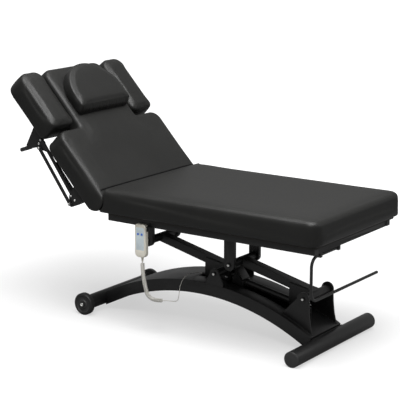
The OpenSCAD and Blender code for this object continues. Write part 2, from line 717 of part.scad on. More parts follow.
// The shoulders and the head part are two pads, sewn to each other past the rounding between them
module back_cushion() {
  rows = cushion_levels();
  color("#222220") on_back() difference() {
    cushion_skin([for (row = rows) [min(row[0], back_flat), row[1]]],
      [for (row = rows) back_corners(back_end(row[1]) - min(row[0], back_flat), seat_corner_r)],
      back_parts);
    both_sides() translate([-overrun, -hinge_y - hinge_slot_w / 2, hinge_slot_top])
      cube([hinge_slot_end + overrun, hinge_slot_w, cushion_t]);
    translate([shoulder_len + seat_corner_r, -table_w / 2, -overrun])
      cube([head_seam_w, table_w, cushion_t + 2 * overrun]);
  }
}
module back_frame() {
  color("#1d1d1d") on_back() translate([0, 0, cushion_t + board_t]) {
    both_sides() translate([back_tube_start, -back_tube_y, 0])
      x_tube(back_len - back_tube_margin - back_tube_start, back_tube, back_tube, tube_wall);
    for (s = [outrigger_s, back_len - back_tube_margin - 2 * back_tube])
      translate([s, 0, 0]) y_tube(2 * back_tube_y - back_tube, back_tube, back_tube, tube_wall);
    both_sides() translate([outrigger_s, 0, 0]) translate([0, -back_tube_y - back_tube / 2, 0])
      mirror([0, 1, 0]) stub_tube(plate_y - plate_t / 2 - back_tube_y - back_tube / 2);
  }
}
module stub_tube(len) { translate([0, len / 2, 0]) y_tube(len, back_tube, back_tube, tube_wall); }

// Two lugs on the back hold each hinge pin, and an ear on the seat's frame stands between them
lug_y = hinge_y - ear_t / 2 - side_fit - lug_t / 2;
lug_gap_y = hinge_y + ear_t / 2 + side_fit + lug_t / 2;
module hinge_lugs() {
  color("#1d1d1d") on_back() difference() {
    both_sides() for (y = [-lug_y, -lug_gap_y]) plate_in_depth(y, lug_t) {
      translate([hinge_r, hinge_r]) circle(lug_boss_r);
      polygon([[hinge_r, hinge_r - lug_boss_r], [hinge_slot_end - lug_t, cushion_t],
        [hinge_slot_end - lug_t, cushion_t + board_t], [back_tube_start, cushion_t + board_t],
        [back_tube_start, cushion_t + board_t + back_tube],
        [back_tube_start - back_tube / 2, cushion_t + board_t + back_tube],
          [hinge_r - lug_boss_r / 2, hinge_r + lug_boss_r * 0.8]]);
    }
    translate([hinge_r, 0, hinge_r]) y_rod(hinge_pin_d / 2 + running_fit, -table_w / 2, table_w / 2);
  }
}
// A flat plate on the back, from its outline in length and depth
module plate_in_depth(y, t) { translate([0, y - t / 2, 0]) rotate([quarter, 0, 0]) mirror([0, 0, 1])
  linear_extrude(t) children(); }
module hinge_ears() {
  color("#1d1d1d") from_seam() {
    difference() {
      both_sides() plate(-hinge_y, ear_t) {
        translate([hinge_x, hinge_z]) circle(ear_w / 2);
        translate([hinge_x - ear_w / 2, rail_low_z]) square([ear_w, hinge_z - rail_low_z]);
        translate([hinge_x - ear_w / 2, rail_low_z]) square([rail_start_x - hinge_x + ear_w / 2,
          ear_foot_h]);
      }
      translate([hinge_x, 0, hinge_z]) y_rod(hinge_pin_d / 2, -table_w / 2, table_w / 2);
    }
    both_sides() translate([hinge_x, -hinge_y, hinge_z])
      y_rod(hinge_pin_d / 2, -hinge_slot_w / 2 + side_fit, hinge_slot_w / 2 - side_fit);
  }
}

// The armrest linkage in length and depth on the back: two parallel links and a gas spring on each side
armrest_start = shoulder_len + armrest_gap;
plate_inset = 28;
plate_y = table_w / 2 - plate_inset;
plate_t = 5;
link_w = 18;
link_t = 5;
link_gap = 3;
lower_link_y = plate_y + plate_t / 2 + link_gap + link_t / 2;
upper_link_y = plate_y - plate_t / 2 - link_gap - link_t / 2;
spring_inset = 54;
spring_y = table_w / 2 - spring_inset;
pin_r = 5;
pin_head_r = 8;
pin_head_t = 4;
link_far_lead = 6;
lower_link_s = armrest_start - link_far_lead - link_run;
lower_link_d = 205;
upper_link_shift = 26;
upper_link_s = lower_link_s + upper_link_shift;
upper_link_d = 176;
spring_lead = 3;
spring_s = lower_link_s - spring_lead;
spring_depth = 172;
spring_far_shift = 19;
spring_far_s = lower_link_s + link_run + spring_far_shift;
spring_far_depth = 160;
spring_angle = atan2(spring_far_depth - spring_depth, spring_far_s - spring_s);
spring_len = norm([spring_far_s - spring_s, spring_far_depth - spring_depth]);
spring_eye_r = 10;
spring_eye_w = 14;
spring_rod_d = 8;
spring_tube_start = 14;
spring_tube_end = 216;
spring_bore_start = 60;
spring_rod_start = 120;
spring_end_len = 22;
spring_end_d = 13;
spring_clearance = 1.5;
board_low = cushion_t + board_t;
side_plate_w = 100;
bracket_share = [[-0.47, 0], [-0.33, 0.54], [-0.16, 1.09], [-0.05, 1.18], [0.07, 1.12], [0.14, 0.94],
  [0.31, 0.8],
  [0.42, 0.54], [0.48, 0]];

module armrest_brackets() {
  color("#1d1d1d") on_back() both_sides() difference() {
    plate_in_depth(-plate_y, plate_t)
      polygon([for (s = bracket_share)
        [lower_link_s + s[0] * side_plate_w, board_low + s[1] * (lower_link_d - board_low)]]);
    for (p = [[lower_link_s, lower_link_d], [upper_link_s, upper_link_d], [spring_s, spring_depth]])
      translate([p[0], 0, p[1]]) y_rod(pin_r + running_fit, -table_w, 0);
  }
}
module bracket_pins() {
  color("#c9c9c9") on_back() both_sides() {
    translate([lower_link_s, 0, lower_link_d])
      headed_pin(pin_r, -lower_link_y - link_t / 2 - side_fit, plate_t / 2 - plate_y, pin_head_r,
        pin_head_t);
    translate([upper_link_s, 0, upper_link_d]) upper_pin();
    translate([spring_s, 0, spring_depth]) spring_pin();
  }
}
module upper_pin() {
  y_rod(pin_r, -plate_y - plate_t / 2, side_fit - upper_link_y + link_t / 2);
  y_rod(pin_head_r, side_fit - upper_link_y + link_t / 2,
    side_fit - upper_link_y + link_t / 2 + pin_head_t);
}
module spring_pin() {
  y_rod(pin_r, -plate_y - plate_t / 2, spring_eye_w / 2 + side_fit - spring_y);
  y_rod(pin_head_r, spring_eye_w / 2 + side_fit - spring_y,
    spring_eye_w / 2 + side_fit - spring_y + pin_head_t);
}

// A link as a bar with round ends, from its pivot on the bracket
module link(s, d, y, far_fit) {
  on_back() translate([s, 0, d]) difference() {
    plate_in_depth(-y, link_t) {
      circle(link_w / 2);
      translate([link_run, -link_rise]) circle(link_w / 2);
      rotate(-atan2(link_rise, link_run)) translate([0, -link_w / 2])
        square([norm([link_run, link_rise]), link_w]);
    }
    y_rod(pin_r + running_fit, -table_w, 0);
    translate([link_run, 0, -link_rise]) y_rod(pin_r + far_fit, -table_w, 0);
  }
}
module lower_link() { link(lower_link_s, lower_link_d, lower_link_y, running_fit); }
module upper_link() { link(upper_link_s, upper_link_d, upper_link_y, open_fit); }
module near_lower_link() { color("#2a2a2a") lower_link(); }
module near_upper_link() { color("#2a2a2a") upper_link(); }
module far_lower_link() { color("#2a2a2a") far_side() lower_link(); }
module far_upper_link() { color("#2a2a2a") far_side() upper_link(); }

// The armrest: cushion, board, and a plate with its pins, one for each link, the gas spring and the lever
armrest_in_y = head_w / 2 + armrest_side_gap;
armrest_flat = 60;
armrest_end_r = 32;
lever_shift = 35;
lever_s = lower_link_s + link_run + lever_shift;
lever_d = 200;
lever_pin_r = 4;
flange_shift = 53;
flange_s = lower_link_s + link_run + flange_shift;
flange_len = 44;
flange_w = 46;
flange_t = 4;
armrest_plate_share = [[-0.1, 0], [-0.1, 0.12], [-0.42, 0.12], [-0.46, 0.4], [-0.13, 1], [-0.02, 1.33],
  [0.15, 1.46], [0.41, 2.59], [0.53, 2.74], [0.64, 2.59],
  [0.99, 0]];
function armrest_corners(end) = [
  [end, -table_w / 2, -1, -1, armrest_end_r, false, true],
  [back_len, -table_w / 2, 1, -1, corner_r, false, false],
  [back_len, -armrest_in_y, 1, 1, corner_r, false, false],
  [end, -armrest_in_y, -1, 1, armrest_end_r, false, false]];
module armrest_cushion() {
  rows = levels(cushion_t, top_edge_r, low_edge_r, crown, side_swell, armrest_flat);
  on_back() cushion_skin(rows, [for (row = rows) armrest_corners(armrest_start)]);
}
module armrest_board() {
  on_back() translate([0, 0, cushion_t]) linear_extrude(board_t)
    polygon(outline(armrest_corners(armrest_start), board_inset));
}
module armrest_plate() {
  on_back() {
    difference() {
      union() {
        plate_in_depth(-plate_y, plate_t) polygon([for (p = armrest_plate_share)
          [lower_link_s + link_run + p[0] * side_plate_w,
            board_low + p[1] * (lower_link_d - link_rise - board_low)]]);
        translate([flange_s, -plate_y - plate_t / 2, board_low]) cube([flange_len, flange_w, flange_t]);
      }
      for (p = [[lower_link_s + link_run, lower_link_d - link_rise],
        [upper_link_s + link_run, upper_link_d - link_rise],
        [spring_far_s, spring_far_depth]])
        translate([p[0], 0, p[1]]) y_rod(pin_r - running_fit, -table_w, 0);
    }
    translate([lower_link_s + link_run, 0, lower_link_d - link_rise])
      headed_pin(pin_r, -lower_link_y - link_t / 2 - side_fit, plate_t / 2 - plate_y, pin_head_r,
        pin_head_t);
    translate([upper_link_s + link_run, 0, upper_link_d - link_rise]) upper_pin();
    translate([spring_far_s, 0, spring_far_depth]) spring_pin();
    translate([lever_s, 0, lever_d]) y_rod(lever_pin_r, -plate_y, lever_hub_w / 2 + side_fit - spring_y);
  }
}
module near_armrest_plate() { color("#1d1d1d") armrest_plate(); }
module near_armrest_board() { color("#5f4a32") armrest_board(); }
module near_armrest_cushion() { color("#222220") armrest_cushion(); }
module far_armrest_plate() { color("#1d1d1d") far_side() armrest_plate(); }
module far_armrest_board() { color("#5f4a32") far_side() armrest_board(); }
module far_armrest_cushion() { color("#222220") far_side() armrest_cushion(); }

// The lockable gas spring: its tube turns on the bracket, and its rod slides in the tube
module on_spring() { on_back() translate([spring_s, -spring_y, spring_depth])
  rotate([0, -spring_angle, 0]) children(); }
module spring_tube() {
  on_spring() difference() {
    union() {
      y_rod(spring_eye_r, -spring_eye_w / 2, spring_eye_w / 2);
      rotate([0, quarter, 0]) cylinder(h = spring_tube_start + overrun, r = spring_end_d / 2);
      translate([spring_tube_start, 0, 0]) rotate([0, quarter, 0])
        cylinder(h = spring_tube_end - spring_tube_start, r = spring_d / 2);
    }
    y_rod(pin_r + running_fit, -spring_eye_w, spring_eye_w);
    translate([spring_bore_start, 0, 0]) rotate([0, quarter, 0])
      cylinder(h = spring_len, r = spring_rod_d / 2 + running_fit);
  }
}
module spring_rod() {
  on_spring() difference() {
    union() {
      translate([spring_len, 0, 0]) y_rod(spring_eye_r, -spring_eye_w / 2, spring_eye_w / 2);
      translate([spring_rod_start, 0, 0]) rotate([0, quarter, 0])
        cylinder(h = spring_len - spring_rod_start, r = spring_rod_d / 2);
      translate([spring_len - spring_end_len - spring_eye_r, 0, 0]) rotate([0, quarter, 0])
        cylinder(h = spring_end_len + spring_eye_r / 2, r = spring_end_d / 2);
    }
    translate([spring_len, 0, 0]) y_rod(pin_r + spring_clearance, -spring_eye_w, spring_eye_w);
  }
}
module near_spring_tube() { color("#151515") spring_tube(); }
module near_spring_rod() { color("#c4c4c4") spring_rod(); }
module far_spring_tube() { color("#151515") far_side() spring_tube(); }
module far_spring_rod() { color("#c4c4c4") far_side() spring_rod(); }

// The release lever: a hub on the plate's pin, a thin stem and a round grip
lever_hub_r = 9;
lever_hub_w = 16;
lever_angle = 66;
stem_r = 3.5;
stem_len = 34;
grip_r = 10;
grip_len = 76;
grip_round = 4;
module lever() {
  on_back() translate([lever_s, -spring_y, lever_d]) {
    difference() {
      y_rod(lever_hub_r, -lever_hub_w / 2, lever_hub_w / 2);
      y_rod(lever_pin_r + running_fit, -lever_hub_w, lever_hub_w);
    }
    rotate([0, quarter - lever_angle, 0]) {
      translate([0, 0, lever_hub_r - side_fit]) cylinder(h = stem_len, r = stem_r);
      translate([0, 0, stem_len]) rotate_extrude() polygon([[0, 0], [grip_r - grip_round, 0],
        [grip_r, grip_round],
        [grip_r, grip_len - grip_round], [grip_r - grip_round, grip_len], [0, grip_len]]);
    }
  }
}
module near_lever() { color("#101010") lever(); }
module far_lever() { color("#101010") far_side() lever(); }

// The head pillow: a straight edge towards the seat and a rounded one at the head
pillow_lead = 50;
pillow_start = shoulder_len + pillow_lead;
pillow_edge_r = 18;
pillow_low_r = 8;
pillow_straight = 90;
pillow_corner_r = 24;
pillow_flat = 70;
pillow_arc_steps = 20;
function pillow_ring(inset) =
  let(arc_x = pillow_start + pillow_straight, a_len = pillow_len - pillow_straight - inset,
    half = pillow_w / 2 - inset)
  concat(corner_points([pillow_start, -pillow_w / 2, -1, -1, pillow_corner_r, false], inset),
    [for (i = [0:pillow_arc_steps]) let(a = quarter * (2 * i / pillow_arc_steps - 1))
      [arc_x + a_len * cos(a), half * sin(a)]],
    corner_points([pillow_start, pillow_w / 2, -1, 1, pillow_corner_r, false], inset));
module pillow() {
  rows = levels(pillow_t, pillow_edge_r, pillow_low_r, crown, side_swell, pillow_flat);
  color("#222220") on_back() translate([0, 0, -pillow_t - body_gap])
    skin([for (row = rows) [for (p = pillow_ring(row[0])) [p[0], p[1], row[1]]]]);
}

// The paper roll bar: out of its two saddles under the foot rail, down beside the table and back across
bar_inset = 10;
bar_x = rail_end_x - bar_inset;
bar_leg_inset = 50;
bar_leg_y = bar_leg_inset - table_w / 2;
bar_bend_r = 45;
bar_fixed_len = 190;
bar_start_y = bar_leg_y + bar_bend_r + bar_fixed_len;
bar_end_y = 252;
saddle_wall = 3;
saddle_w = 20;
saddle_len = 18;
saddle_lead = 14;
bar_top_z = rail_low_z - saddle_wall - roll_bar_d / 2;
module bend(r, bar_r) { rotate_extrude(angle = quarter) translate([r, 0]) circle(bar_r); }
module roll_bar() {
  r = roll_bar_d / 2;
  color("#2b2b2b") from_seam() translate([bar_x, 0, 0]) {
    translate([0, 0, bar_top_z]) y_rod(r, bar_leg_y + bar_bend_r, bar_start_y);
    translate([0, bar_leg_y + bar_bend_r, bar_top_z - bar_bend_r]) rotate([0, quarter, 0])
      rotate([0, 0, half_turn]) bend(bar_bend_r, r);
    translate([0, bar_leg_y, roll_bar_z + bar_bend_r])
      cylinder(h = bar_top_z - roll_bar_z - 2 * bar_bend_r, r = r);
    translate([0, bar_leg_y + bar_bend_r, roll_bar_z + bar_bend_r]) rotate([0, quarter, 0])
      rotate([0, 0, -quarter]) bend(bar_bend_r, r);
    translate([0, 0, roll_bar_z]) y_rod(r, bar_leg_y + bar_bend_r, bar_end_y);
    translate([0, bar_end_y, roll_bar_z]) sphere(r);
  }
}
module roll_bar_clamp() {
  color("#1d1d1d") from_seam() translate([bar_x, 0, 0]) difference() {
    for (y = [bar_leg_y + bar_bend_r + saddle_lead, bar_start_y - saddle_len])
      translate([-saddle_w / 2, y, bar_top_z - roll_bar_d / 2 - saddle_wall])
        cube([saddle_w, saddle_len, roll_bar_d + 2 * saddle_wall]);
    translate([0, 0, bar_top_z]) y_rod(roll_bar_d / 2 + running_fit, -table_w, table_w);
  }
}

// The handset hangs in a holder on the near rail, with its face outwards
handset_x = 205;
handset_top_z = 545;
holder_t = 4;
holder_reach = 18;
handset_back_y = -rail_y - holder_t - body_gap;
handset_front_y = handset_back_y - handset_t;
handset_r = 13;
handset_low_r = 20;
handset_bevel = 3;
clip_h = 24;
clip_z = 512;
button_r = 5.5;
button_pitch = 22;
button_z = 497;
button_depth = 5;
button_proud = 1.4;
button_fit = 0.1;
membrane_t = 0.8;
membrane_margin = 8;
membrane_low = 70;
relief_x = 209;
relief_len = 22;
relief_d = 13;
relief_tip_d = 8;
function handset_outline(inset) = outline([
  [handset_x + handset_w / 2, handset_top_z - handset_len, 1, -1, handset_low_r, false, false],
  [handset_x + handset_w / 2, handset_top_z, 1, 1, handset_r, false, false],
  [handset_x - handset_w / 2, handset_top_z, -1, 1, handset_r, false, false],
  [handset_x - handset_w / 2, handset_top_z - handset_len, -1, -1, handset_low_r, false, false]], inset);
module at_buttons() { for (side = [-1, 1]) translate([handset_x + side * button_pitch / 2, 0, button_z])
  children(); }
module handset_holder() {
  color("#121212") from_seam() {
    translate([handset_x - handset_w / 2 - holder_t, -rail_y - holder_t, clip_z])
      cube([handset_w + 2 * holder_t, holder_t, rail_low_z + rail_h - clip_z]);
    for (side = [-1, 1])
      translate([handset_x + side * (handset_w / 2 + body_gap + holder_t / 2) - holder_t / 2,
      -rail_y - holder_t - holder_reach, clip_z]) cube([holder_t, holder_reach, clip_h]);
  }
}
module handset_shell() {
  color("#e6e3da") from_seam() difference() {
    intersection() {
      plate((handset_back_y + handset_front_y) / 2, handset_t) polygon(handset_outline(0));
      translate([0, handset_front_y, 0]) rotate([-quarter, 0, 0]) mirror([0, 1, 0])
        skin([for (k = [[handset_bevel, 0], [0, handset_bevel], [0, handset_t - handset_bevel],
          [handset_bevel, handset_t]])
          [for (p = handset_outline(k[0])) [p[0], p[1], k[1]]]]);
    }
    plate(handset_front_y, 2 * membrane_t) membrane_outline();
    at_buttons() y_rod(button_r + button_fit, handset_front_y - overrun, handset_front_y + button_depth);
  }
}
module membrane_outline() {
  translate([handset_x - handset_w / 2 + membrane_margin, handset_top_z - handset_len + membrane_low / 2])
    square([handset_w - 2 * membrane_margin, handset_len - membrane_low / 2 - 2 * membrane_margin]);
}
module handset_membrane() {
  color("#cfd8dc") from_seam() difference() {
    plate(handset_front_y + membrane_t / 2, membrane_t) membrane_outline();
    at_buttons() y_rod(button_r + 4 * button_fit, handset_front_y - overrun,
      handset_front_y + button_depth);
  }
}
module button(side) {
  color("#5d8fe0") from_seam() translate([handset_x + side * button_pitch / 2, 0, button_z])
    y_rod(button_r, handset_front_y - button_proud, handset_front_y + button_depth - 2 * button_proud);
}
module up_button() { button(-1); }
module down_button() { button(1); }
relief_y = (handset_back_y + handset_front_y) / 2;
relief_z = handset_top_z - handset_len;
module handset_relief() {
  color("#dcd9cf") from_seam() translate([relief_x, relief_y, relief_z - relief_len])
    cylinder(h = relief_len, r1 = relief_tip_d / 2, r2 = relief_d / 2);
}

// The cord: curls along a bent guide line, then a plain run to the plug
curl_pitch = 4.75;
curl_count = 53;
curl_steps = 8;
curl_lead = 1;
curl_sides = 6;
hang_len = 150;
hang_tilt = 14;
bend_angle = 72;
bend_r = 54;
cord_heading = 34;
run_tilt = hang_tilt + bend_angle;
bend_len = bend_r * bend_angle * PI / half_turn;
curls_len = curl_pitch * curl_count;
function guide_tilt(t) = t < hang_len ? hang_tilt * t / hang_len
  : t < hang_len + bend_len ? hang_tilt + bend_angle * (t - hang_len) / bend_len : run_tilt;
guide_step = curl_pitch / curl_steps;
guide_n = curl_count * curl_steps;
cord_start = [relief_x, relief_y, relief_z - relief_len];
function guide_line() = [for (i = 0, p = cord_start; i <= guide_n;
  i = i + 1, p = p + guide_step * [sin(guide_tilt(i * guide_step)) * cos(cord_heading),
    sin(guide_tilt(i * guide_step)) * sin(cord_heading), -cos(guide_tilt(i * guide_step))]) p];
function smooth(x) = let(c = max(min(x, 1), 0)) c * c * (3 - 2 * c);
function curl_radius(i) = (curl_d - cord_d) / 2 * min(smooth((i - curl_steps) / curl_steps),
  smooth((guide_n - curl_steps - i) / curl_steps));
function curls_line() =
  let(guide = guide_line(), side = [-sin(cord_heading), cos(cord_heading), 0])
  [for (i = [0:guide_n]) let(tilt = guide_tilt(i * guide_step), a = 360 * i / curl_steps,
    out = [cos(tilt) * cos(cord_heading), cos(tilt) * sin(cord_heading), sin(tilt)])
    guide[i] + curl_radius(i) * (cos(a) * out + sin(a) * side)];
function guide_end() = guide_line()[guide_n];

// A tube swept along a line, with rings square to it
function unit(v) = v / norm(v);
function tube_rings(line, r, sides, first_dir, last_dir) =
  let(n = len(line) - 1,
      dirs = [for (i = [0:n]) i == 0 ? first_dir : i == n ? last_dir : unit(line[i + 1] - line[i - 1])],
      start = unit(cross(dirs[0], abs(dirs[0][1]) < 0.9 ? [0, 1, 0] : [1, 0, 0])))
  [for (i = 0, u = start; i <= n; i = i + 1,
    u = i <= n ? unit(u - (u * dirs[min(i, n)]) * dirs[min(i, n)]) : u)
    let(w = cross(dirs[i], u))
    [for (k = [0:sides - 1]) let(a = 360 * k / sides) line[i] + r * (cos(a) * u + sin(a) * w)]];
module tube(line, r, sides, first_dir, last_dir) {
  rings = tube_rings(line, r, sides, first_dir, last_dir);
  mirror([1, 0, 0]) skin([for (ring = rings) [for (p = ring) [-p[0], p[1], p[2]]]]);
}

// The least gap between any two turns of the curls, from the points of the cord's middle line
function least_gap(line) = min([for (i = [curl_steps:2:guide_n - 2 * curl_steps])
  min([for (j = [i + curl_steps - 2:min(i + 3 * curl_steps, guide_n - curl_steps)])
    norm(line[j] - line[i])])]) - cord_d;
module handset_curls() {
  line = curls_line();
  echo(least_gap_between_curls = least_gap(line));
  color("#d9d8d2") from_seam() tube(line, cord_d / 2, curl_sides, [0, 0, -1], end_dir());
}
function end_dir() = [sin(run_tilt) * cos(cord_heading), sin(run_tilt) * sin(cord_heading), -cos(run_tilt)];

// The plain run's points, measured from the seam
cord_points = [[308, -300, 172], [320, -288, 169], [327, -274, 166], [329, -258, 164], [326, -242, 166],
  [320, -228, 173], [314, -216, 185], [309, -205, 200], [305, -193, 217], [302, -178, 234],
    [301, -160, 248],
  [303, -140, 257], [304, -118, 260], [301, -96, 258], [295, -74, 254], [288, -54, 250], [284, -36, 246],
  [285, -21, 243], [292, -13, 241.5]];
cord_sides = 8;
cord_split = 2;
function catmull(a, b, c, d, t) = (2 * b + (c - a) * t + (2 * a - 5 * b + 4 * c - d) * t * t
  + (3 * b - a - 3 * c + d) * t * t * t) / 2;
function cord_line() =
  let(ends = [guide_end(), [plug_x, plug_y, plug_z]],
      run = concat([2 * ends[0] - cord_points[0], ends[0]], cord_points,
        [ends[1], 2 * ends[1] - cord_points[len(cord_points) - 1]]),
      n = len(run))
  concat([for (k = [1:n - 3], i = [0:cord_split - 1]) catmull(run[k - 1], run[k], run[k + 1], run[k + 2],
    i / cord_split)],
    [ends[1]]);
module handset_cord() {
  color("#d9d8d2") from_seam() tube(cord_line(), cord_d / 2, cord_sides, end_dir(), [1, 0, 0]);
}

base_arch();
foot_tube();
foot_tube_caps();
head_tube();
mid_brackets();
foot_brackets();
base_pins();
actuator_rod();
near_wheel_tyre();
near_wheel_hub();
far_wheel_tyre();
far_wheel_hub();
arm_a();
crank_pin();
control_box();
mains_inlet();
cord_plug();
arm_b();
motor_housing();
motor_tube();
rails();
cross_tubes();
posts();
upper_shafts();
seat_board();
seat_cushion();
hinge_ears();
roll_bar();
roll_bar_clamp();
handset_holder();
handset_shell();
handset_membrane();
handset_relief();
up_button();
down_button();
handset_curls();
handset_cord();
back_board();
back_frame();
hinge_lugs();
back_cushion();
armrest_brackets();
bracket_pins();
near_lower_link();
near_upper_link();
near_armrest_plate();
near_armrest_board();
near_armrest_cushion();
near_spring_tube();
near_spring_rod();
near_lever();
far_lower_link();
far_upper_link();
far_armrest_plate();
far_armrest_board();
far_armrest_cushion();
far_spring_tube();
far_spring_rod();
far_lever();
pillow();
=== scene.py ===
import bmesh
import bpy
import numpy as np
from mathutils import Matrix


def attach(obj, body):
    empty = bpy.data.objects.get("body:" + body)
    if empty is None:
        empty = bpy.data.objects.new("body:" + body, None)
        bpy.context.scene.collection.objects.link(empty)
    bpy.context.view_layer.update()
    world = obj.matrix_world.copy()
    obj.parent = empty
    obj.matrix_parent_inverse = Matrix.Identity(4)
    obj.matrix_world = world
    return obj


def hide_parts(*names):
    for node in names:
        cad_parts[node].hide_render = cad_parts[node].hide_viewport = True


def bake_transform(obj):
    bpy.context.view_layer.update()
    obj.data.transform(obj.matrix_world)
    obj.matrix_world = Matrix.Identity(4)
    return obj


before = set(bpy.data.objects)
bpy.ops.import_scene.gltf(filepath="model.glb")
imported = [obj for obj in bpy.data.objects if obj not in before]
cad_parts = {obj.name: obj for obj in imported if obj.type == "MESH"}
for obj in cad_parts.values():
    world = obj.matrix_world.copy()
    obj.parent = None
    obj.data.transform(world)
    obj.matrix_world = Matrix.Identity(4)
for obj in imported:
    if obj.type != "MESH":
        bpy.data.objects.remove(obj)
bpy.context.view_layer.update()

# The camera stands off the table's near foot corner at about head height, with a long lens.
camera_data = bpy.data.cameras.new("camera")
camera = bpy.data.objects.new("camera", camera_data)
bpy.context.collection.objects.link(camera)
camera.location = (3.89645, -5.541, 2.157)
camera.rotation_euler = np.radians((77.079, 0, 35.157))
camera_data.lens = 129.14
camera_data.sensor_width = 36
camera_data.clip_end = 100
bpy.context.scene.camera = camera

# The hand control's cord: a curly cord of soft off-white rubber that hangs from the control and swings up
# level, then a plain run of the same cord that rises to its plug on the control box under the seat.
seam_x = -0.290548
cord_d = 0.0034
curl_d = 0.020
curl_pitch = 0.00475
curl_count = 53
cord_exit = (0.209 + seam_x, -0.3636, 0.363)
plug_tip = (0.307 + seam_x, -0.012, 0.241)


def outward(mesh):
    """Turns the faces of a closed mesh so that they look out of it."""
    shape = bmesh.new()
    shape.from_mesh(mesh)
    bmesh.ops.recalc_face_normals(shape, faces=shape.faces)
    shape.to_mesh(mesh)
    shape.free()


def surface(name, *grids, wrap=False, capped=False, sharp_from=32):
    """A mesh over one or more grids of points, rows x columns x 3. Each cell is a four-sided face. With wrap the
    columns close on themselves, and with capped the first and last rows are closed with one face each. Edges that
    turn by more than sharp_from degrees stay sharp."""
    points, faces, start = [], [], 0
    for grid in grids:
        rows, cols = grid.shape[:2]
        index = np.arange(rows * cols).reshape(rows, cols) + start
        left = index if wrap else index[:, :-1]
        right = np.roll(index, -1, axis=1) if wrap else index[:, 1:]
        faces += np.stack([left[:-1], right[:-1], right[1:], left[1:]], -1).reshape(-1, 4).tolist()
        if capped:
            faces += [index[0, ::-1].tolist(), index[-1].tolist()]
        points += grid.reshape(-1, 3).tolist()
        start += rows * cols
    mesh = bpy.data.meshes.new(name)
    mesh.from_pydata(points, [], faces)
    if wrap and capped:
        outward(mesh)
    mesh.polygons.foreach_set("use_smooth", np.ones(len(mesh.polygons), bool))
    mesh.set_sharp_from_angle(angle=np.radians(sharp_from))
    piece = bpy.data.objects.new(name, mesh)
    bpy.context.collection.objects.link(piece)
    return piece


def swept(path, radius, sides=12):
    """Rings of a round tube: at each point of the path a circle of that radius lies square to the path, and its
    first spoke is carried along the path without twist. The radius is one number, or one for each point."""
    path = np.asarray(path, float)
    ahead = np.gradient(path, axis=0)
    ahead /= np.linalg.norm(ahead, axis=1)[:, None]
    spoke = np.cross(ahead[0], (0.0, 0.0, 1.0) if abs(ahead[0][2]) < 0.8 else (0.0, 1.0, 0.0))
    spokes = []
    for direction in ahead:
        spoke = spoke - spoke.dot(direction) * direction
        spoke /= np.linalg.norm(spoke)
        spokes.append(spoke)
    spokes = np.array(spokes)
    across = np.cross(ahead, spokes)
    turn = np.linspace(0, 2 * np.pi, sides, endpoint=False)[None, :, None]
    reach = np.broadcast_to(np.asarray(radius, float), len(path))[:, None, None]
    return path[:, None] + reach * (np.cos(turn) * spokes[:, None] + np.sin(turn) * across[:, None])


def smooth_line(points, steps):
    """A Catmull-Rom curve through the points, with so many steps from each point to the next."""
    p = np.asarray(points, float)
    p = np.vstack([2 * p[0] - p[1], p, 2 * p[-1] - p[-2]])
    t = (np.arange(steps) / steps)[:, None]
    a, b, c, d = (p[k:len(p) - 3 + k, None] for k in range(4))
    line = (2 * b + (c - a) * t + (2 * a - 5 * b + 4 * c - d) * t**2 + (3 * b - a - 3 * c + d) * t**3) / 2
    return np.vstack([line.reshape(-1, 3), p[-2]])


def curly_line(per_curl=16):
    """The cord's middle line. A guide line starts straight down, leans over by 14 degrees in its first 150 mm,
    turns by 72 degrees more on a 54 mm bend and runs on straight; the curls wind round it at an even pitch, and
    their radius grows from nothing over the second curl and falls back to nothing in the last but one."""
    hang, lean, bend_r, bend_turn, heading_angle = 0.150, 14, 0.054, 72, np.radians(34)
    n = curl_count * per_curl
    step = curl_pitch / per_curl
    run = np.arange(n + 1) * step
    bend = bend_r * np.radians(bend_turn)
    tilt = np.radians(np.interp(run, [0, hang, hang + bend], [0, lean, lean + bend_turn]))
    toward = np.array([np.cos(heading_angle), np.sin(heading_angle), 0])
    down = np.array([0, 0, -1.0])
    heading = np.sin(tilt)[:, None] * toward + np.cos(tilt)[:, None] * down
    guide = np.vstack([np.zeros(3), np.cumsum(heading[:-1] * step, axis=0)]) + np.array(cord_exit)
    turn = 2 * np.pi * np.arange(n + 1) / per_curl
    i = np.arange(n + 1) / per_curl
    ease = np.clip(np.minimum(i - 1, curl_count - 1 - i), 0, 1)
    radius = (curl_d - cord_d) / 2 * ease**2 * (3 - 2 * ease)
    out = np.cos(tilt)[:, None] * toward - np.sin(tilt)[:, None] * down
    side = np.array([-toward[1], toward[0], 0])
    return guide + radius[:, None] * (np.cos(turn)[:, None] * out + np.sin(turn)[:, None] * side)


curls = curly_line()
plain = np.array([
    [308, -300, 172], [320, -288, 169], [327, -274, 166], [329, -258, 164], [326, -242, 166],
    [320, -228, 173], [314, -216, 185], [309, -205, 200], [305, -193, 217], [302, -178, 234],
    [301, -160, 248], [303, -140, 257], [304, -118, 260], [301, -96, 258], [295, -74, 254],
    [288, -54, 250], [284, -36, 246], [285, -21, 243], [292, -13, 241.5]]) / 1000 + [seam_x, 0, 0]
plain = smooth_line(np.vstack([curls[-1], plain, plug_tip]), 6)
cord_line = np.vstack([curls[:-1], plain])
cord = surface("hand_control_cord", swept(cord_line, cord_d / 2, 10), wrap=True, capped=True)


def texture_of(material, kind, scale, **inputs):
    """A texture node of that kind on the piece's own coordinates; scale is its features per metre."""
    nodes, links = material.node_tree.nodes, material.node_tree.links
    place = nodes.get("place") or nodes.new("ShaderNodeTexCoord")
    place.name = "place"
    texture = nodes.new(kind)
    texture.inputs["Scale"].default_value = scale
    for name, value in inputs.items():
        texture.inputs[name].default_value = value
    links.new(place.outputs["Object"], texture.inputs["Vector"])
    return texture


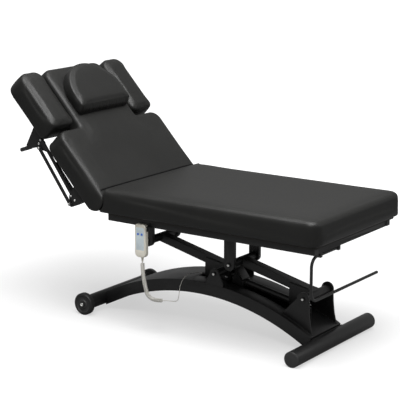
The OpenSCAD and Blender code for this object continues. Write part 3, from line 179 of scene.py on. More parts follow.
def finish(name, colour, roughness, specular=0.5, metallic=0.0, patch=8.0, shade=0.12, rough_range=0.06,
           grain=900.0, grain_depth=0.00002):
    """A material with an even colour that drifts by the share shade over patches, a roughness that drifts with it,
    and a fine grain of that many features per metre and that depth in metres."""
    material = bpy.data.materials.new(name)
    material.use_nodes = True
    nodes, links = material.node_tree.nodes, material.node_tree.links
    shader = nodes["Principled BSDF"]
    shader.inputs["Metallic"].default_value = metallic
    shader.inputs["Specular IOR Level"].default_value = specular
    drift = texture_of(material, "ShaderNodeTexNoise", patch, Detail=4.0, Roughness=0.6)
    tint = nodes.new("ShaderNodeValToRGB")
    tint.color_ramp.elements[0].position = 0.3
    tint.color_ramp.elements[1].position = 0.7
    tint.color_ramp.elements[0].color = (*(c * (1 - shade) for c in colour), 1)
    tint.color_ramp.elements[1].color = (*(min(c * (1 + shade), 1) for c in colour), 1)
    links.new(drift.outputs["Fac"], tint.inputs["Fac"])
    links.new(tint.outputs["Color"], shader.inputs["Base Color"])
    polish = nodes.new("ShaderNodeMapRange")
    polish.inputs["To Min"].default_value = roughness - rough_range
    polish.inputs["To Max"].default_value = roughness + rough_range
    links.new(drift.outputs["Fac"], polish.inputs["Value"])
    links.new(polish.outputs["Result"], shader.inputs["Roughness"])
    skin = texture_of(material, "ShaderNodeTexNoise", grain, Detail=3.0)
    bump = nodes.new("ShaderNodeBump")
    bump.name = "grain"
    bump.inputs["Distance"].default_value = grain_depth
    links.new(skin.outputs["Fac"], bump.inputs["Height"])
    links.new(bump.outputs["Normal"], shader.inputs["Normal"])
    return material


def paint(piece, material):
    """Gives the piece that one material."""
    piece.data.materials.clear()
    piece.data.materials.append(material)
    return piece


cord_rubber = finish("off_white_cord_rubber", (0.60, 0.585, 0.54), 0.42, patch=40, shade=0.05, grain=1500)
paint(cord, cord_rubber)
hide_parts("handset_curls", "handset_cord")
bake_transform(cord)

# The studio: a pale sweep of floor with a soft shadow under the table, an even white surround, and soft lamps
# over the camera's side. The sweep itself reads as white to the camera; its own colour is a light grey. Part of
# the shadow under the table is painted: the glow the camera sees in the floor is dimmed near the table's middle.
floor_half = 30
floor_mesh = bpy.data.meshes.new("floor")
floor_mesh.from_pydata([(-floor_half, -floor_half, 0), (floor_half, -floor_half, 0), (floor_half, floor_half, 0),
                        (-floor_half, floor_half, 0)], [], [(0, 1, 2, 3)])
floor = bpy.data.objects.new("floor", floor_mesh)
bpy.context.collection.objects.link(floor)
sweep = bpy.data.materials.new("studio_sweep")
sweep.use_nodes = True
nodes, links = sweep.node_tree.nodes, sweep.node_tree.links
paper = nodes["Principled BSDF"]
paper.inputs["Base Color"].default_value = (0.24, 0.24, 0.24, 1)
paper.inputs["Roughness"].default_value = 0.9
paper.inputs["Specular IOR Level"].default_value = 0.1
shaded = nodes.new("ShaderNodeBsdfDiffuse")
shaded.inputs["Color"].default_value = (0.34, 0.34, 0.34, 1)
place = nodes.new("ShaderNodeTexCoord")
reach = nodes.new("ShaderNodeVectorMath")
reach.operation = "LENGTH"
links.new(place.outputs["Object"], reach.inputs[0])
# Painted shadow: the floor's glow for the camera is 0.57 within 1.1 m of the middle and rises to 1.02 at 2.8 m.
painted_shadow_fade = nodes.new("ShaderNodeMapRange")
painted_shadow_fade.interpolation_type = "SMOOTHSTEP"
for socket, value in (("From Min", 1.1), ("From Max", 2.8), ("To Min", 0.57), ("To Max", 1.02)):
    painted_shadow_fade.inputs[socket].default_value = value
links.new(reach.outputs["Value"], painted_shadow_fade.inputs["Value"])
glow = nodes.new("ShaderNodeEmission")
links.new(painted_shadow_fade.outputs["Result"], glow.inputs["Strength"])
lit = nodes.new("ShaderNodeAddShader")
links.new(shaded.outputs[0], lit.inputs[0])
links.new(glow.outputs[0], lit.inputs[1])
rays = nodes.new("ShaderNodeLightPath")
blend = nodes.new("ShaderNodeMixShader")
links.new(rays.outputs["Is Camera Ray"], blend.inputs["Fac"])
links.new(paper.outputs[0], blend.inputs[1])
links.new(lit.outputs[0], blend.inputs[2])
links.new(blend.outputs[0], nodes["Material Output"].inputs["Surface"])
floor_mesh.materials.append(sweep)

world = bpy.data.worlds.new("studio")
world.use_nodes = True
bpy.context.scene.world = world
nodes, links = world.node_tree.nodes, world.node_tree.links
rays = nodes.new("ShaderNodeLightPath")
strength = nodes.new("ShaderNodeMapRange")
strength.inputs["To Min"].default_value = 0.35
strength.inputs["To Max"].default_value = 1.05
links.new(rays.outputs["Is Camera Ray"], strength.inputs["Value"])
links.new(strength.outputs[0], nodes["Background"].inputs["Strength"])
nodes["Background"].inputs["Color"].default_value = (1, 1, 1, 1)


def soft_lamp(name, place, aim, size, power):
    """A square area lamp at a place, turned towards a point."""
    data = bpy.data.lights.new(name, "AREA")
    data.size = size
    data.energy = power
    lamp = bpy.data.objects.new(name, data)
    bpy.context.collection.objects.link(lamp)
    lamp.location = place
    towards = np.array(aim, float) - place
    lamp.rotation_euler = (np.arctan2(np.hypot(towards[0], towards[1]), -towards[2]), 0,
                           np.arctan2(towards[1], towards[0]) - np.pi / 2)
    return lamp


soft_lamp("front_lamp", np.array([1.2, -1.6, 4.6]), aim=(0, 0, 0.5), size=3.0, power=260)
soft_lamp("overhead_lamp", np.array([0.0, 0.0, 4.6]), aim=(0, 0, 0.5), size=3.0, power=150)
soft_lamp("side_lamp", np.array([3.6, 1.6, 2.6]), aim=(0, 0, 0.4), size=2.0, power=18)

# The base: an arched steel box section welded to a round foot tube and a head cross tube, with brackets for
# the lift on top of it, all in satin black powder coat.
powder_coat = finish("black_powder_coat", (0.0105, 0.0105, 0.0105), 0.40, specular=0.42, patch=14, shade=0.25,
                     rough_range=0.07, grain=1400, grain_depth=0.00003)


def eased(node, name, edge, crease=30):
    """The CAD node's shape as a piece of its own: its loose triangles are merged, flat areas are made one face, and
    every edge sharper than the crease angle gets a small rounding of that width."""
    merge_gap, flat_within, sharp_from = 1e-5, 0.6, 28
    shape = bmesh.new()
    shape.from_mesh(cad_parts[node].data)
    bmesh.ops.remove_doubles(shape, verts=shape.verts, dist=merge_gap)
    bmesh.ops.dissolve_limit(shape, angle_limit=np.radians(flat_within), verts=shape.verts, edges=shape.edges)
    if edge:
        sharp = [e for e in shape.edges if len(e.link_faces) == 2 and e.calc_face_angle() > np.radians(crease)]
        bmesh.ops.bevel(shape, geom=sharp, offset=edge, offset_type="OFFSET", segments=2, profile=0.6,
                        affect="EDGES", clamp_overlap=True, miter_outer="ARC")
    mesh = bpy.data.meshes.new(name)
    shape.to_mesh(mesh)
    shape.free()
    mesh.polygons.foreach_set("use_smooth", np.ones(len(mesh.polygons), bool))
    mesh.set_sharp_from_angle(angle=np.radians(sharp_from))
    piece = bpy.data.objects.new(name, mesh)
    bpy.context.collection.objects.link(piece)
    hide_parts(node)
    return piece


for node, edge in (("base_arch", 0.0012), ("foot_tube", 0.0008), ("head_tube", 0.0008), ("mid_brackets", 0.001),
                   ("foot_brackets", 0.001)):
    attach(paint(eased(node, node + "_coated", edge), powder_coat), "base")
black_plastic = finish("black_moulded_plastic", (0.022, 0.022, 0.022), 0.5, patch=30, shade=0.15, grain=2200,
                       grain_depth=0.00002)
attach(paint(eased("foot_tube_caps", "foot_tube_caps_moulded", 0.0006), black_plastic), "base")


def weld(points, width=0.0022):
    """Rings of a weld bead along a line, rippled as the torch leaves it: its radius is
    width * (1 + depth * sin(2 * pi * run / pitch)), and falls to half of that at both ends."""
    step, depth, pitch, taper = 0.001, 0.10, 0.004, 0.002
    line = np.asarray(points, float)
    run = np.concatenate([[0], np.cumsum(np.linalg.norm(np.diff(line, axis=0), axis=1))])
    places = np.linspace(0, run[-1], int(run[-1] / step) + 2)
    line = np.column_stack([np.interp(places, run, line[:, k]) for k in range(3)])
    ends = np.minimum(np.minimum(places, run[-1] - places) / taper, 1)
    return swept(line, width * (1 + depth * np.sin(2 * np.pi * places / pitch)) * (0.5 + 0.5 * ends), 8)


arch_r, arch_x, arch_z = 1230, 385, -991


def arch_height(x):
    """The height of the arch's upper face, z = arch_z + sqrt(arch_r^2 - (x - arch_x)^2), in millimetres."""
    return arch_z + np.sqrt(arch_r**2 - (x - arch_x) ** 2)


def arch_line(x0, x1, y, lift=0.3, steps=24):
    """A line on the arch's upper face from x0 to x1, in millimetres from the seam."""
    x = np.linspace(x0, x1, steps)
    return np.column_stack([x, np.full(steps, y), arch_height(x) + lift]) / 1000 + [seam_x, 0, 0]


def across_at(x, z, half):
    """A line across the table at x and z, as long as twice the half, in millimetres from the seam."""
    return np.array([[x, -half, z], [x, half, z]]) / 1000 + [seam_x, 0, 0]


foot_bracket, foot_bracket_faces = (830, 995), (105, 115)
mid_bracket, mid_bracket_face = (415, 511), 128
foot_joint, head_joint, arch_half, wide_bead = (1007.4, 67.6), (-197.5, 88), 136, 0.003
beads = [weld(arch_line(*foot_bracket, sign * y)) for sign in (-1, 1) for y in foot_bracket_faces]
beads += [weld(arch_line(*mid_bracket, sign * mid_bracket_face)) for sign in (-1, 1)]
beads += [weld(across_at(*joint, arch_half), wide_bead) for joint in (foot_joint, head_joint)]
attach(paint(surface("base_welds", *beads, wrap=True, capped=True), powder_coat), "base")

# The wheels: black rubber tyres on moulded hubs, each on a bolt in the end of the head cross tube.
tyre_rubber = finish("black_tyre_rubber", (0.013, 0.013, 0.013), 0.5, specular=0.4, patch=25, shade=0.2, grain=1800,
                     grain_depth=0.00004)
for side in ("near", "far"):
    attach(paint(eased(side + "_wheel_tyre", side + "_tyre", 0.0008), tyre_rubber), side + "_wheel")
    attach(paint(eased(side + "_wheel_hub", side + "_hub", 0.0006), black_plastic), side + "_wheel")

# The shafts and bolts of the lift and the wheels: zinc-plated steel. Each shaft end has a low black cap, and in
# its middle the bright domed head of a bolt with a hexagon socket.
zinc = finish("zinc_plated_steel", (0.86, 0.86, 0.84), 0.30, metallic=1.0, patch=60, shade=0.08, grain=2600,
              grain_depth=0.000008)
for node, body in (("base_pins", "base"), ("upper_shafts", "top_frame"), ("bracket_pins", "back"),
                   ("crank_pin", "arm_a")):
    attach(paint(eased(node, node + "_plated", 0.0004), zinc), body)


def turned(profile, centre, axis, sides=36, outline=1.0):
    """Rings of a turned shape: each row of the profile is a distance along the axis and a radius, and the outline
    is a factor on the radius for every ring, or one for each ring and each of the sides round it."""
    axis = np.asarray(axis, float) / np.linalg.norm(axis)
    spoke = np.cross(axis, (0.0, 0.0, 1.0) if abs(axis[2]) < 0.8 else (1.0, 0.0, 0.0))
    spoke /= np.linalg.norm(spoke)
    across = np.cross(axis, spoke)
    turn = np.linspace(0, 2 * np.pi, sides, endpoint=False)[None, :, None]
    along, radius = np.asarray(profile, float).T
    reach = (radius[:, None] * np.broadcast_to(outline, (len(along), sides)))[:, :, None]
    return np.asarray(centre) + along[:, None, None] * axis + reach * (np.cos(turn) * spoke + np.sin(turn) * across)


def cover_cap(centre, axis, r, t):
    """Rings of a low black cap that covers a plain head of radius r and thickness t."""
    profile = [(0, 1.06 * r), (t - 0.0006, 1.06 * r), (t + 0.0003, 0.99 * r), (t + 0.0008, 0.90 * r),
               (t + 0.0008, 0.50 * r)]
    return turned(profile, centre, axis)


def bolt_head(centre, axis, r, t):
    """Rings of a domed bolt head with a six-sided socket, in the middle of a cap over a head of radius r and
    thickness t. The socket's outline is the hexagon 1 / cos(a), where a is the angle from the nearest flat's
    middle."""
    profile = [(t, 0.72 * r), (t + 0.0014, 0.72 * r), (t + 0.0023, 0.67 * r), (t + 0.0030, 0.57 * r),
               (t + 0.0034, 0.43 * r), (t + 0.0034, 0.33 * r), (t + 0.0018, 0.31 * r)]
    sides = 36
    turn = np.linspace(0, 2 * np.pi, sides, endpoint=False)
    outline = np.ones((len(profile), sides))
    outline[-2:] = 1 / np.cos((turn + np.pi / 6) % (np.pi / 3) - np.pi / 6)
    return turned(profile, centre, axis, sides, outline)


def fix_bolts(name, body, *places):
    """Bright bolts in black caps at the places, each a centre, an axis, a head's radius and its thickness."""
    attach(paint(surface(name + "_bolts", *(bolt_head(*place) for place in places), wrap=True, capped=True),
                  zinc), body)
    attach(paint(surface(name + "_bolt_caps", *(cover_cap(*place) for place in places), wrap=True, capped=True),
                  black_plastic), body)


def from_seam(x, y, z):
    """A place given in millimetres from the seam between seat and back."""
    return np.array([x, y, z]) / 1000 + [seam_x, 0, 0]


def both_ends(x, y, z, r, t):
    """The two ends of a shaft that runs across the table at x and z, with half its length y, its head's radius r
    and the head's thickness t, all in millimetres."""
    return [(from_seam(x, sign * y, z), (0, sign, 0), r / 1000, t / 1000) for sign in (-1, 1)]


mid_shaft, foot_shaft, wheel_axle = (463, 137, 291, 9, 6), (942, 114, 243, 9, 6), (-228, 287, 55.5, 12, 6)
head_post_shaft, foot_post_shaft, crank_shaft = (55, 118, 389, 9, 6), (534, 118, 341, 9, 6), (464.7, 31, 253, 8, 4)
fix_bolts("base", "base", *both_ends(*mid_shaft), *both_ends(*foot_shaft), *both_ends(*wheel_axle))
fix_bolts("post", "top_frame", *both_ends(*head_post_shaft), *both_ends(*foot_post_shaft))
fix_bolts("crank", "arm_a", *both_ends(*crank_shaft))

# The lift: two parallel arms of square tube with round barrels and side plates, welded and powder coated in
# satin black.
for node in ("arm_a", "arm_b"):
    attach(paint(eased(node, node + "_coated", 0.001), powder_coat), node)

# The actuator: a ribbed black motor housing on its outer tube, and a polished steel rod that runs out of it to
# the lugs on the base.
motor_black = finish("motor_housing_black", (0.014, 0.014, 0.014), 0.38, patch=40, shade=0.15, grain=1600)
for node in ("motor_housing", "motor_tube"):
    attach(paint(eased(node, node + "_moulded", 0.0012), motor_black), "motor")
rod_steel = finish("polished_rod_steel", (0.6, 0.6, 0.6), 0.2, metallic=1.0, patch=80, shade=0.05, grain=3000,
                   grain_depth=0.000004)
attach(paint(eased("actuator_rod", "actuator_rod_polished", 0.0006), rod_steel), "base")

# The control box between the arms with its mains inlet and the plug of the hand control's cord, all moulded in
# black plastic.
for node in ("control_box", "mains_inlet", "cord_plug"):
    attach(paint(eased(node, node + "_moulded", 0.0012), black_plastic), "arm_a")

# The seat frame: a ring of rectangular tube with cross tubes and posts, the hinge ears and the paper roll bar,
# with pressed-in plugs in the open ends of its rails and weld beads where its tubes meet.
for node in ("rails", "cross_tubes", "posts", "hinge_ears", "roll_bar", "roll_bar_clamp"):
    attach(paint(eased(node, node + "_coated", 0.0012), powder_coat), "top_frame")


def rounded_plug(centre, axis, up, w, h, r=0.003, t=0.003):
    """Rings of a rounded oblong plug that closes a tube's end: a rim as wide as the tube, and an eased face."""
    steps, depth_inside, least_r = 5, 0.001, 0.0012
    axis, up = np.asarray(axis, float), np.asarray(up, float)
    side = np.cross(up, axis)
    a = np.pi / 2 * (np.arange(steps + 1) / steps - 0.5)
    rows = []
    for inset, along in ((0, -depth_inside), (0, 0.6 * t), (0.3 * t, 0.9 * t), (0.8 * t, t)):
        rr = max(r - inset, least_r)
        corner = np.stack([np.cos(a), np.sin(a)], -1) * rr
        ring = []
        for k in range(4):
            turn = k * np.pi / 2 + np.pi / 4
            rot = np.array([[np.cos(turn), np.sin(turn)], [-np.sin(turn), np.cos(turn)]])
            signs = np.sign(np.array([np.cos(turn), np.sin(turn)]))
            ring.append(corner @ rot + signs * (np.array([w / 2, h / 2]) - inset - rr))
        ring = np.vstack(ring)
        rows.append(np.asarray(centre) + along * axis + ring[:, :1] * side + ring[:, 1:] * up)
    return np.array(rows)


rail_ends, rail_y, rail_z, plug_w, plug_h = ((-6, -1), (1133, 1)), 330, 545.5, 0.0322, 0.0332
plugs = [rounded_plug(from_seam(x, y, rail_z), (toward, 0, 0), (0, 0, 1), plug_w, plug_h)
         for x, toward in rail_ends for y in (-rail_y, rail_y)]
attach(paint(surface("rail_end_plugs", *plugs, wrap=True, capped=True), black_plastic), "top_frame")
post_places, post_y, post_top = (55, 534), 108, 529
post_outline = np.array([[-28.7, -10.2, 0], [28.7, -10.2, 0], [28.7, 10.2, 0], [-28.7, 10.2, 0],
                         [-28.7, -10.2, 0]]) / 1000
tube_faces, rail_inner_y, rail_top = (26, 1101, 83.5, 505.5, 562.5, 862), 314, 561
tube_height = np.array([[0, 0, -32], [0, 0, 0.6]]) / 1000
beads = [weld(from_seam(x, sign * post_y, post_top) + post_outline) for x in post_places for sign in (-1, 1)]
beads += [weld(from_seam(x, sign * rail_inner_y, rail_top) + tube_height, 0.0018)
          for x in tube_faces for sign in (-1, 1)]
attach(paint(surface("seat_frame_welds", *beads, wrap=True, capped=True), powder_coat), "top_frame")

# The boards: birch plywood under every cushion, stained black so that it goes unseen under the upholstery.
birch = finish("black_stained_birch", (0.017, 0.0155, 0.014), 0.6, specular=0.3, patch=12, shade=0.25, grain=300,
               grain_depth=0.00005)
for node, body in (("seat_board", "top_frame"), ("back_board", "back"), ("near_armrest_board", "near_armrest"),
                   ("far_armrest_board", "far_armrest")):
    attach(paint(eased(node, node + "_birch", 0.001), birch), body)

# The back frame: two rails and cross tubes behind the back, its hinge lugs and the plates that hold the
# armrests, all powder coated.
for node in ("back_frame", "hinge_lugs", "armrest_brackets"):
    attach(paint(eased(node, node + "_coated", 0.001), powder_coat), "back")

# The armrests' mechanism on each side: two parallel links and a plate in powder coat, a gas spring with a bright
# rod, and a release lever with a satin chrome head and a ribbed rubber grip, held by black-capped bolts.
for side in ("near", "far"):
    for node, ending, edge, material, slot, body in (
            ("lower_link", "coated", 0.0008, powder_coat, "black_frame", "lower_link"),
            ("upper_link", "coated", 0.0008, powder_coat, "black_frame", "upper_link"),
            ("armrest_plate", "coated", 0.0008, powder_coat, "black_frame", "armrest"),
            ("spring_tube", "black", 0.0008, motor_black, "spring_black", "spring_tube"),
            ("spring_rod", "bright", 0.0005, rod_steel, "rod_steel", "spring_rod"),
            ("lever", "moulded", 0.0008, black_plastic, "black_plastic", "lever")):
        dressed = eased(f"{side}_{node}", f"{side}_{node}_{ending}", edge)
        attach(paint(dressed, material), f"{side}_{body}")


def on_back(s, y, depth):
    """A place on the back in millimetres: along it from the hinged end, across it, and in depth under its face."""
    a, up = (np.asarray(s, float) / 1000 - hinge_r), hinge_r - np.asarray(depth, float) / 1000
    x = hinge[0] - np.cos(back_angle) * a + np.sin(back_angle) * up
    z = hinge[2] + np.sin(back_angle) * a + np.cos(back_angle) * up
    return np.stack(np.broadcast_arrays(x, np.asarray(y, float) / 1000, z), -1)


cushion_t = 0.117
seat_top = 0.691
hinge_r = cushion_t / 2
seam_gap = 0.0006
hinge = np.array([seam_x - hinge_r - seam_gap, 0, seat_top - hinge_r])
back_angle = np.radians(47)
silver = finish("satin_chrome", (0.72, 0.72, 0.71), 0.22, metallic=1.0, patch=60, shade=0.05, grain=2600,
                grain_depth=0.000005)
grip_rubber = finish("ribbed_grip_rubber", (0.011, 0.011, 0.011), 0.6, specular=0.35, patch=40, shade=0.15,
                     grain=2000, grain_depth=0.00003)
lever_s, lever_y, lever_depth, lever_lean = 482.4, 346, 200, np.radians(24)
hub_profile = [(-0.0095, 0.0085), (-0.0090, 0.0100), (-0.0075, 0.0106), (0.0075, 0.0106), (0.0090, 0.0100),
               (0.0095, 0.0085)]
neck_profile = [(0.0075, 0.0062), (0.0120, 0.0066), (0.0270, 0.0085), (0.0330, 0.0092), (0.0345, 0.0080)]
grip_start, grip_end, grip_r, grip_round, rib_pitch, rib_depth = 0.034, 0.0775, 0.0106, 0.0035, 0.0040, 0.0009
spring_y, plate_y, inner_y, link_y = 383.5, 360.5, 338.0, 374.5
pin_head, flat_head = (0.008, 0.004), (0.0075, 0.0002)
for side, sign in (("near", -1), ("far", 1)):
    stem = on_back(np.sin(lever_lean), 0, np.cos(lever_lean)) - on_back(0, 0, 0)
    stem /= np.linalg.norm(stem)
    hub = on_back(lever_s, sign * lever_y, lever_depth)
    head = surface(side + "_release_head", turned(hub_profile, hub, (0, 1, 0)), turned(neck_profile, hub, stem),
                   wrap=True, capped=True)
    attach(paint(head, silver), side + "_lever")
    along = np.linspace(grip_start, grip_end, 88)
    ends = np.clip(np.minimum(along - grip_start, grip_end - along) / grip_round, 0, 1)
    ribs = (grip_r - rib_depth * np.abs(np.sin(np.pi * (along - grip_start) / rib_pitch)) ** 0.6
            - grip_round * (1 - np.sqrt(1 - (1 - ends) ** 2)))
    grip = surface(side + "_ribbed_grip", turned(np.column_stack([along, ribs]), hub, stem, sides=28),
                   wrap=True, capped=True)
    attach(paint(grip, grip_rubber), side + "_lever")
    for name, body, (spring_s, spring_depth), (lower_s, lower_depth), (upper_s, upper_depth) in (
            (side + "_armrest", side + "_armrest", (447.4, 168), (473.4, 139), (466.4, 160)),
            (side + "_bracket", "back", (133.4, 205), (159.4, 176), (130.4, 172))):
        fix_bolts(name, body,
                  (on_back(spring_s, sign * spring_y, spring_depth), (0, sign, 0), *pin_head),
                  (on_back(lower_s, sign * plate_y, lower_depth), (0, -sign, 0), *pin_head),
                  (on_back(upper_s, sign * inner_y, upper_depth), (0, -sign, 0), *pin_head),
                  (on_back(lower_s, sign * link_y, lower_depth), (0, sign, 0), *flat_head),
                  (on_back(upper_s, sign * link_y, upper_depth), (0, sign, 0), *flat_head))

# The cushions: foam on the boards under soft black upholstery leather, pulled tight over rounded edges. The back
# is a T, wide at the shoulders and narrow at the head, and an armrest lies on either side of its head part.
leather = finish("black_upholstery_leather", (0.0096, 0.0096, 0.0090), 0.46, specular=0.27, patch=5, shade=0.12,
                 rough_range=0.05, grain=1100, grain_depth=0.00006)
bump = leather.node_tree.nodes["grain"]
pores = texture_of(leather, "ShaderNodeTexVoronoi", 620.0)
pores.feature = "DISTANCE_TO_EDGE"
pebble = leather.node_tree.nodes.new("ShaderNodeBump")
pebble.inputs["Distance"].default_value = 0.00012
leather.node_tree.links.new(pores.outputs["Distance"], pebble.inputs["Height"])
leather.node_tree.links.new(bump.outputs["Normal"], pebble.inputs["Normal"])
leather.node_tree.links.new(pebble.outputs["Normal"], leather.node_tree.nodes["Principled BSDF"].inputs["Normal"])

table_w = 0.800
seat_len = 1.175
back_len = 0.788
shoulder_len = 0.4334
head_w = 0.452
half = table_w / 2
corner_r, hinge_corner_r, armrest_corner_r = 0.058, 0.010, 0.032
seat_edge_r, back_edge_r, armrest_edge_r, low_edge_r = 0.024, 0.019, 0.018, 0.010
crown_rise, side_swell, crown_w, armrest_crown_w, back_crown_w = 0.004, 0.002, 0.150, 0.060, 0.110
armrest_gap_s, armrest_gap_y = 0.020, 0.006


def ring_of(corners, inset, steps=9):
    """The outline of a cushion moved in by the inset: each corner [x, y, sign, sign, radius, hollow] is an arc."""
    points = []
    for x, y, sx, sy, r, hollow in corners:
        turn = -1 if hollow else 1
        radius = r + inset if hollow else max(r - inset, 0.003)
        centre = np.array([x - inset * sx - turn * radius * sx, y - inset * sy - turn * radius * sy])
        middle = np.arctan2(turn * sy, turn * sx)
        a = middle + turn * np.pi / 2 * (np.arange(steps + 1) / steps - 0.5)
        points.append(centre + radius * np.stack([np.cos(a), np.sin(a)], -1))
    return np.vstack(points)


def cushion_levels(t, r, low_r, rise, swell, flat):
    """Pairs of inset and depth down a cushion's side: the crown, a quarter round upper edge, a side that swells out
    in the middle, and a quarter round lower edge."""
    a = np.linspace(0, np.pi / 2, 10)
    crown = [[flat * k, rise * (1 - k) ** 2] for k in (1.0, 0.75, 0.5)]
    top = np.stack([swell + r * (1 - np.sin(a)), rise + r * (1 - np.cos(a))], -1)
    k = np.linspace(0, 1, 6)[1:-1]
    side = np.stack([swell * (2 * k - 1) ** 2, rise + r + k * (t - low_r - rise - r)], -1)
    low = np.stack([swell + low_r * (1 - np.cos(a[::2])), t - low_r * (1 - np.sin(a[::2]))], -1)
    return np.vstack([crown, top, side, low])


def seat_end(depth):
    """How far the seat's head end stands from the seam at a depth: a small upper rounding, a flat, then a cove
    sqrt(r^2 - (depth - hinge_r)^2) round the back's rounded end."""
    round_r, cove_gap, deepest = 0.008, 0.002, -0.042
    if depth < round_r:
        return round_r - np.sqrt(round_r**2 - (round_r - depth) ** 2)
    if depth < hinge_r:
        return 0.0
    cove = np.sqrt(max((hinge_r + cove_gap) ** 2 - (depth - hinge_r) ** 2, 0)) - hinge_r - seam_gap
    return max(min(cove, 0.0), deepest)


def padded_form(name, rings, voxel, cap, held, slots=()):
    """A closed skin through the rings, remeshed evenly, then blown up a little as cloth over its foam, and most of
    that movement is evened out over its neighbours, as leather pulled tight. Points where held is 1 stay where
    they are, and no point moves further than the cap. Slots are boxes cut out of it first."""
    frames, even_rounds, even_share = 16, 14, 0.85
    form = surface(name, rings, wrap=True, capped=True)
    cutters = []
    for (x0, y0, z0), (x1, y1, z1) in slots:
        box = [[[x, y, z] for x, y in ((x0, y0), (x1, y0), (x1, y1), (x0, y1))] for z in (z0, z1)]
        cutter = surface("slot", np.array(box), wrap=True, capped=True)
        cut = form.modifiers.new("slot", "BOOLEAN")
        cut.operation = "DIFFERENCE"
        cut.object = cutter
        cutters.append(cutter)
    even = form.modifiers.new("even", "REMESH")
    even.mode = "VOXEL"
    even.voxel_size = voxel
    even.use_smooth_shade = True
    settle = form.modifiers.new("settle", "SMOOTH")
    settle.factor = 0.5
    settle.iterations = 2
    bake(form)
    for cutter in cutters:
        bpy.data.objects.remove(cutter)
    rest = points_of(form)
    group = form.vertex_groups.new(name="held")
    stay = held(rest)
    for level in np.unique(np.round(stay, 2)):
        group.add(np.nonzero(np.round(stay, 2) == level)[0].tolist(), float(level), "REPLACE")
    cloth = form.modifiers.new("cloth", "CLOTH")
    cloth.settings.quality = 3
    cloth.settings.use_pressure = True
    cloth.settings.uniform_pressure_force = 4
    cloth.settings.tension_stiffness = 25
    cloth.settings.compression_stiffness = 25
    cloth.settings.shear_stiffness = 10
    cloth.settings.bending_stiffness = 1.5
    cloth.settings.vertex_group_mass = "held"
    cloth.settings.effector_weights.gravity = 0
    cloth.point_cache.frame_start = 1
    cloth.point_cache.frame_end = frames
    for moment in range(1, frames + 1):
        bpy.context.scene.frame_set(moment)
    bake(form)
    bpy.context.scene.frame_set(1)
    move = points_of(form) - rest
    pairs = np.empty(2 * len(form.data.edges), int)
    form.data.edges.foreach_get("vertices", pairs)
    pairs = pairs.reshape(-1, 2)
    near, other = np.concatenate([pairs, pairs[:, ::-1]]).T
    count = np.bincount(near, minlength=len(rest))[:, None]
    calm = move.copy()
    for _ in range(even_rounds):
        sums = np.stack([np.bincount(near, calm[other, k], len(rest)) for k in range(3)], -1)
        calm = 0.5 * calm + 0.5 * sums / count
    move = (1 - even_share) * move + even_share * calm
    far = np.linalg.norm(move, axis=1)[:, None]
    move *= (1 - stay)[:, None] * np.minimum(1, cap / np.maximum(far, 1e-9))
    form.data.vertices.foreach_set("co", (rest + move).ravel())
    form.vertex_groups.clear()
    return form


def bake(piece):
    """Replaces the piece's mesh by what its modifiers make of it."""
    bpy.context.view_layer.update()
    made = bpy.data.meshes.new_from_object(piece.evaluated_get(bpy.context.evaluated_depsgraph_get()))
    piece.modifiers.clear()
    piece.data = made


def points_of(piece):
    """The piece's points as an array."""
    co = np.empty(len(piece.data.vertices) * 3)
    piece.data.vertices.foreach_get("co", co)
    return co.reshape(-1, 3)


def finer(piece):
    """One smooth subdivision."""
    fine = piece.modifiers.new("fine", "SUBSURF")
    fine.levels = fine.render_levels = 1
    bake(piece)
    piece.data.polygons.foreach_set("use_smooth", np.ones(len(piece.data.polygons), bool))
    return piece


def onto_back(piece):
    """Turns a piece drawn along the back, in length, width and height over the face, to where the back stands."""
    co = points_of(piece)
    s, y, up = co[:, 0] - hinge_r, co[:, 1], co[:, 2] + hinge_r
    x = hinge[0] - np.cos(back_angle) * s + np.sin(back_angle) * up
    z = hinge[2] + np.sin(back_angle) * s + np.cos(back_angle) * up
    piece.data.vertices.foreach_set("co", np.stack([x, y, z], -1).ravel())
    outward(piece.data)
    return piece


def lift_off(depth, t):
    """1 on the underside, falling to 0 at 20 mm above it."""
    return np.clip((depth - (t - 0.020)) / 0.015, 0, 1)


def seat_held(p):
    """Where the seat's leather is held: on the board, and towards the seam."""
    return np.maximum(lift_off(seat_top - p[:, 2], cushion_t), np.clip((seam_x + 0.05 - p[:, 0]) / 0.04, 0, 1))


rings = []
for inset, depth in cushion_levels(cushion_t, seat_edge_r, low_edge_r, crown_rise, side_swell, crown_w):
    end = seat_end(depth) - inset
    ring = ring_of([[seat_len, -half, 1, -1, corner_r, False], [seat_len, half, 1, 1, corner_r, False],
                    [end, half, -1, 1, hinge_corner_r, False], [end, -half, -1, -1, hinge_corner_r, False]], inset)
    rings.append(np.column_stack([ring[:, 0] + seam_x, ring[:, 1], np.full(len(ring), seat_top - depth)]))
seat = padded_form("seat_cushion_leather", np.array(rings), voxel=0.007, cap=0.003, held=seat_held)
# The seat's upper edge at the seam is stitched, so its rounding is drawn out to a corner there.
band, draw, top_left, end_left = 0.014, 0.75, 0.0006, 0.0004
co = points_of(seat)
out, low = co[:, 0] - seam_x, seat_top - co[:, 2]
edge = (out < band) & (out > -0.004) & (low < band) & (np.abs(co[:, 1]) < half - 0.012)
level_with_top = edge & (low < out)
co[level_with_top, 2] += draw * (low[level_with_top] - top_left)
co[edge & ~level_with_top, 0] -= draw * (out[edge & ~level_with_top] - end_left)
seat.data.vertices.foreach_set("co", co.ravel())
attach(paint(seat, leather), "top_frame")
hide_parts("seat_cushion")

def back_held(p):
    """Where the back's leather is held: on the board, and towards the hinged end."""
    return np.maximum(lift_off(-p[:, 2], cushion_t), np.clip((0.075 - p[:, 0]) / 0.03, 0, 1))


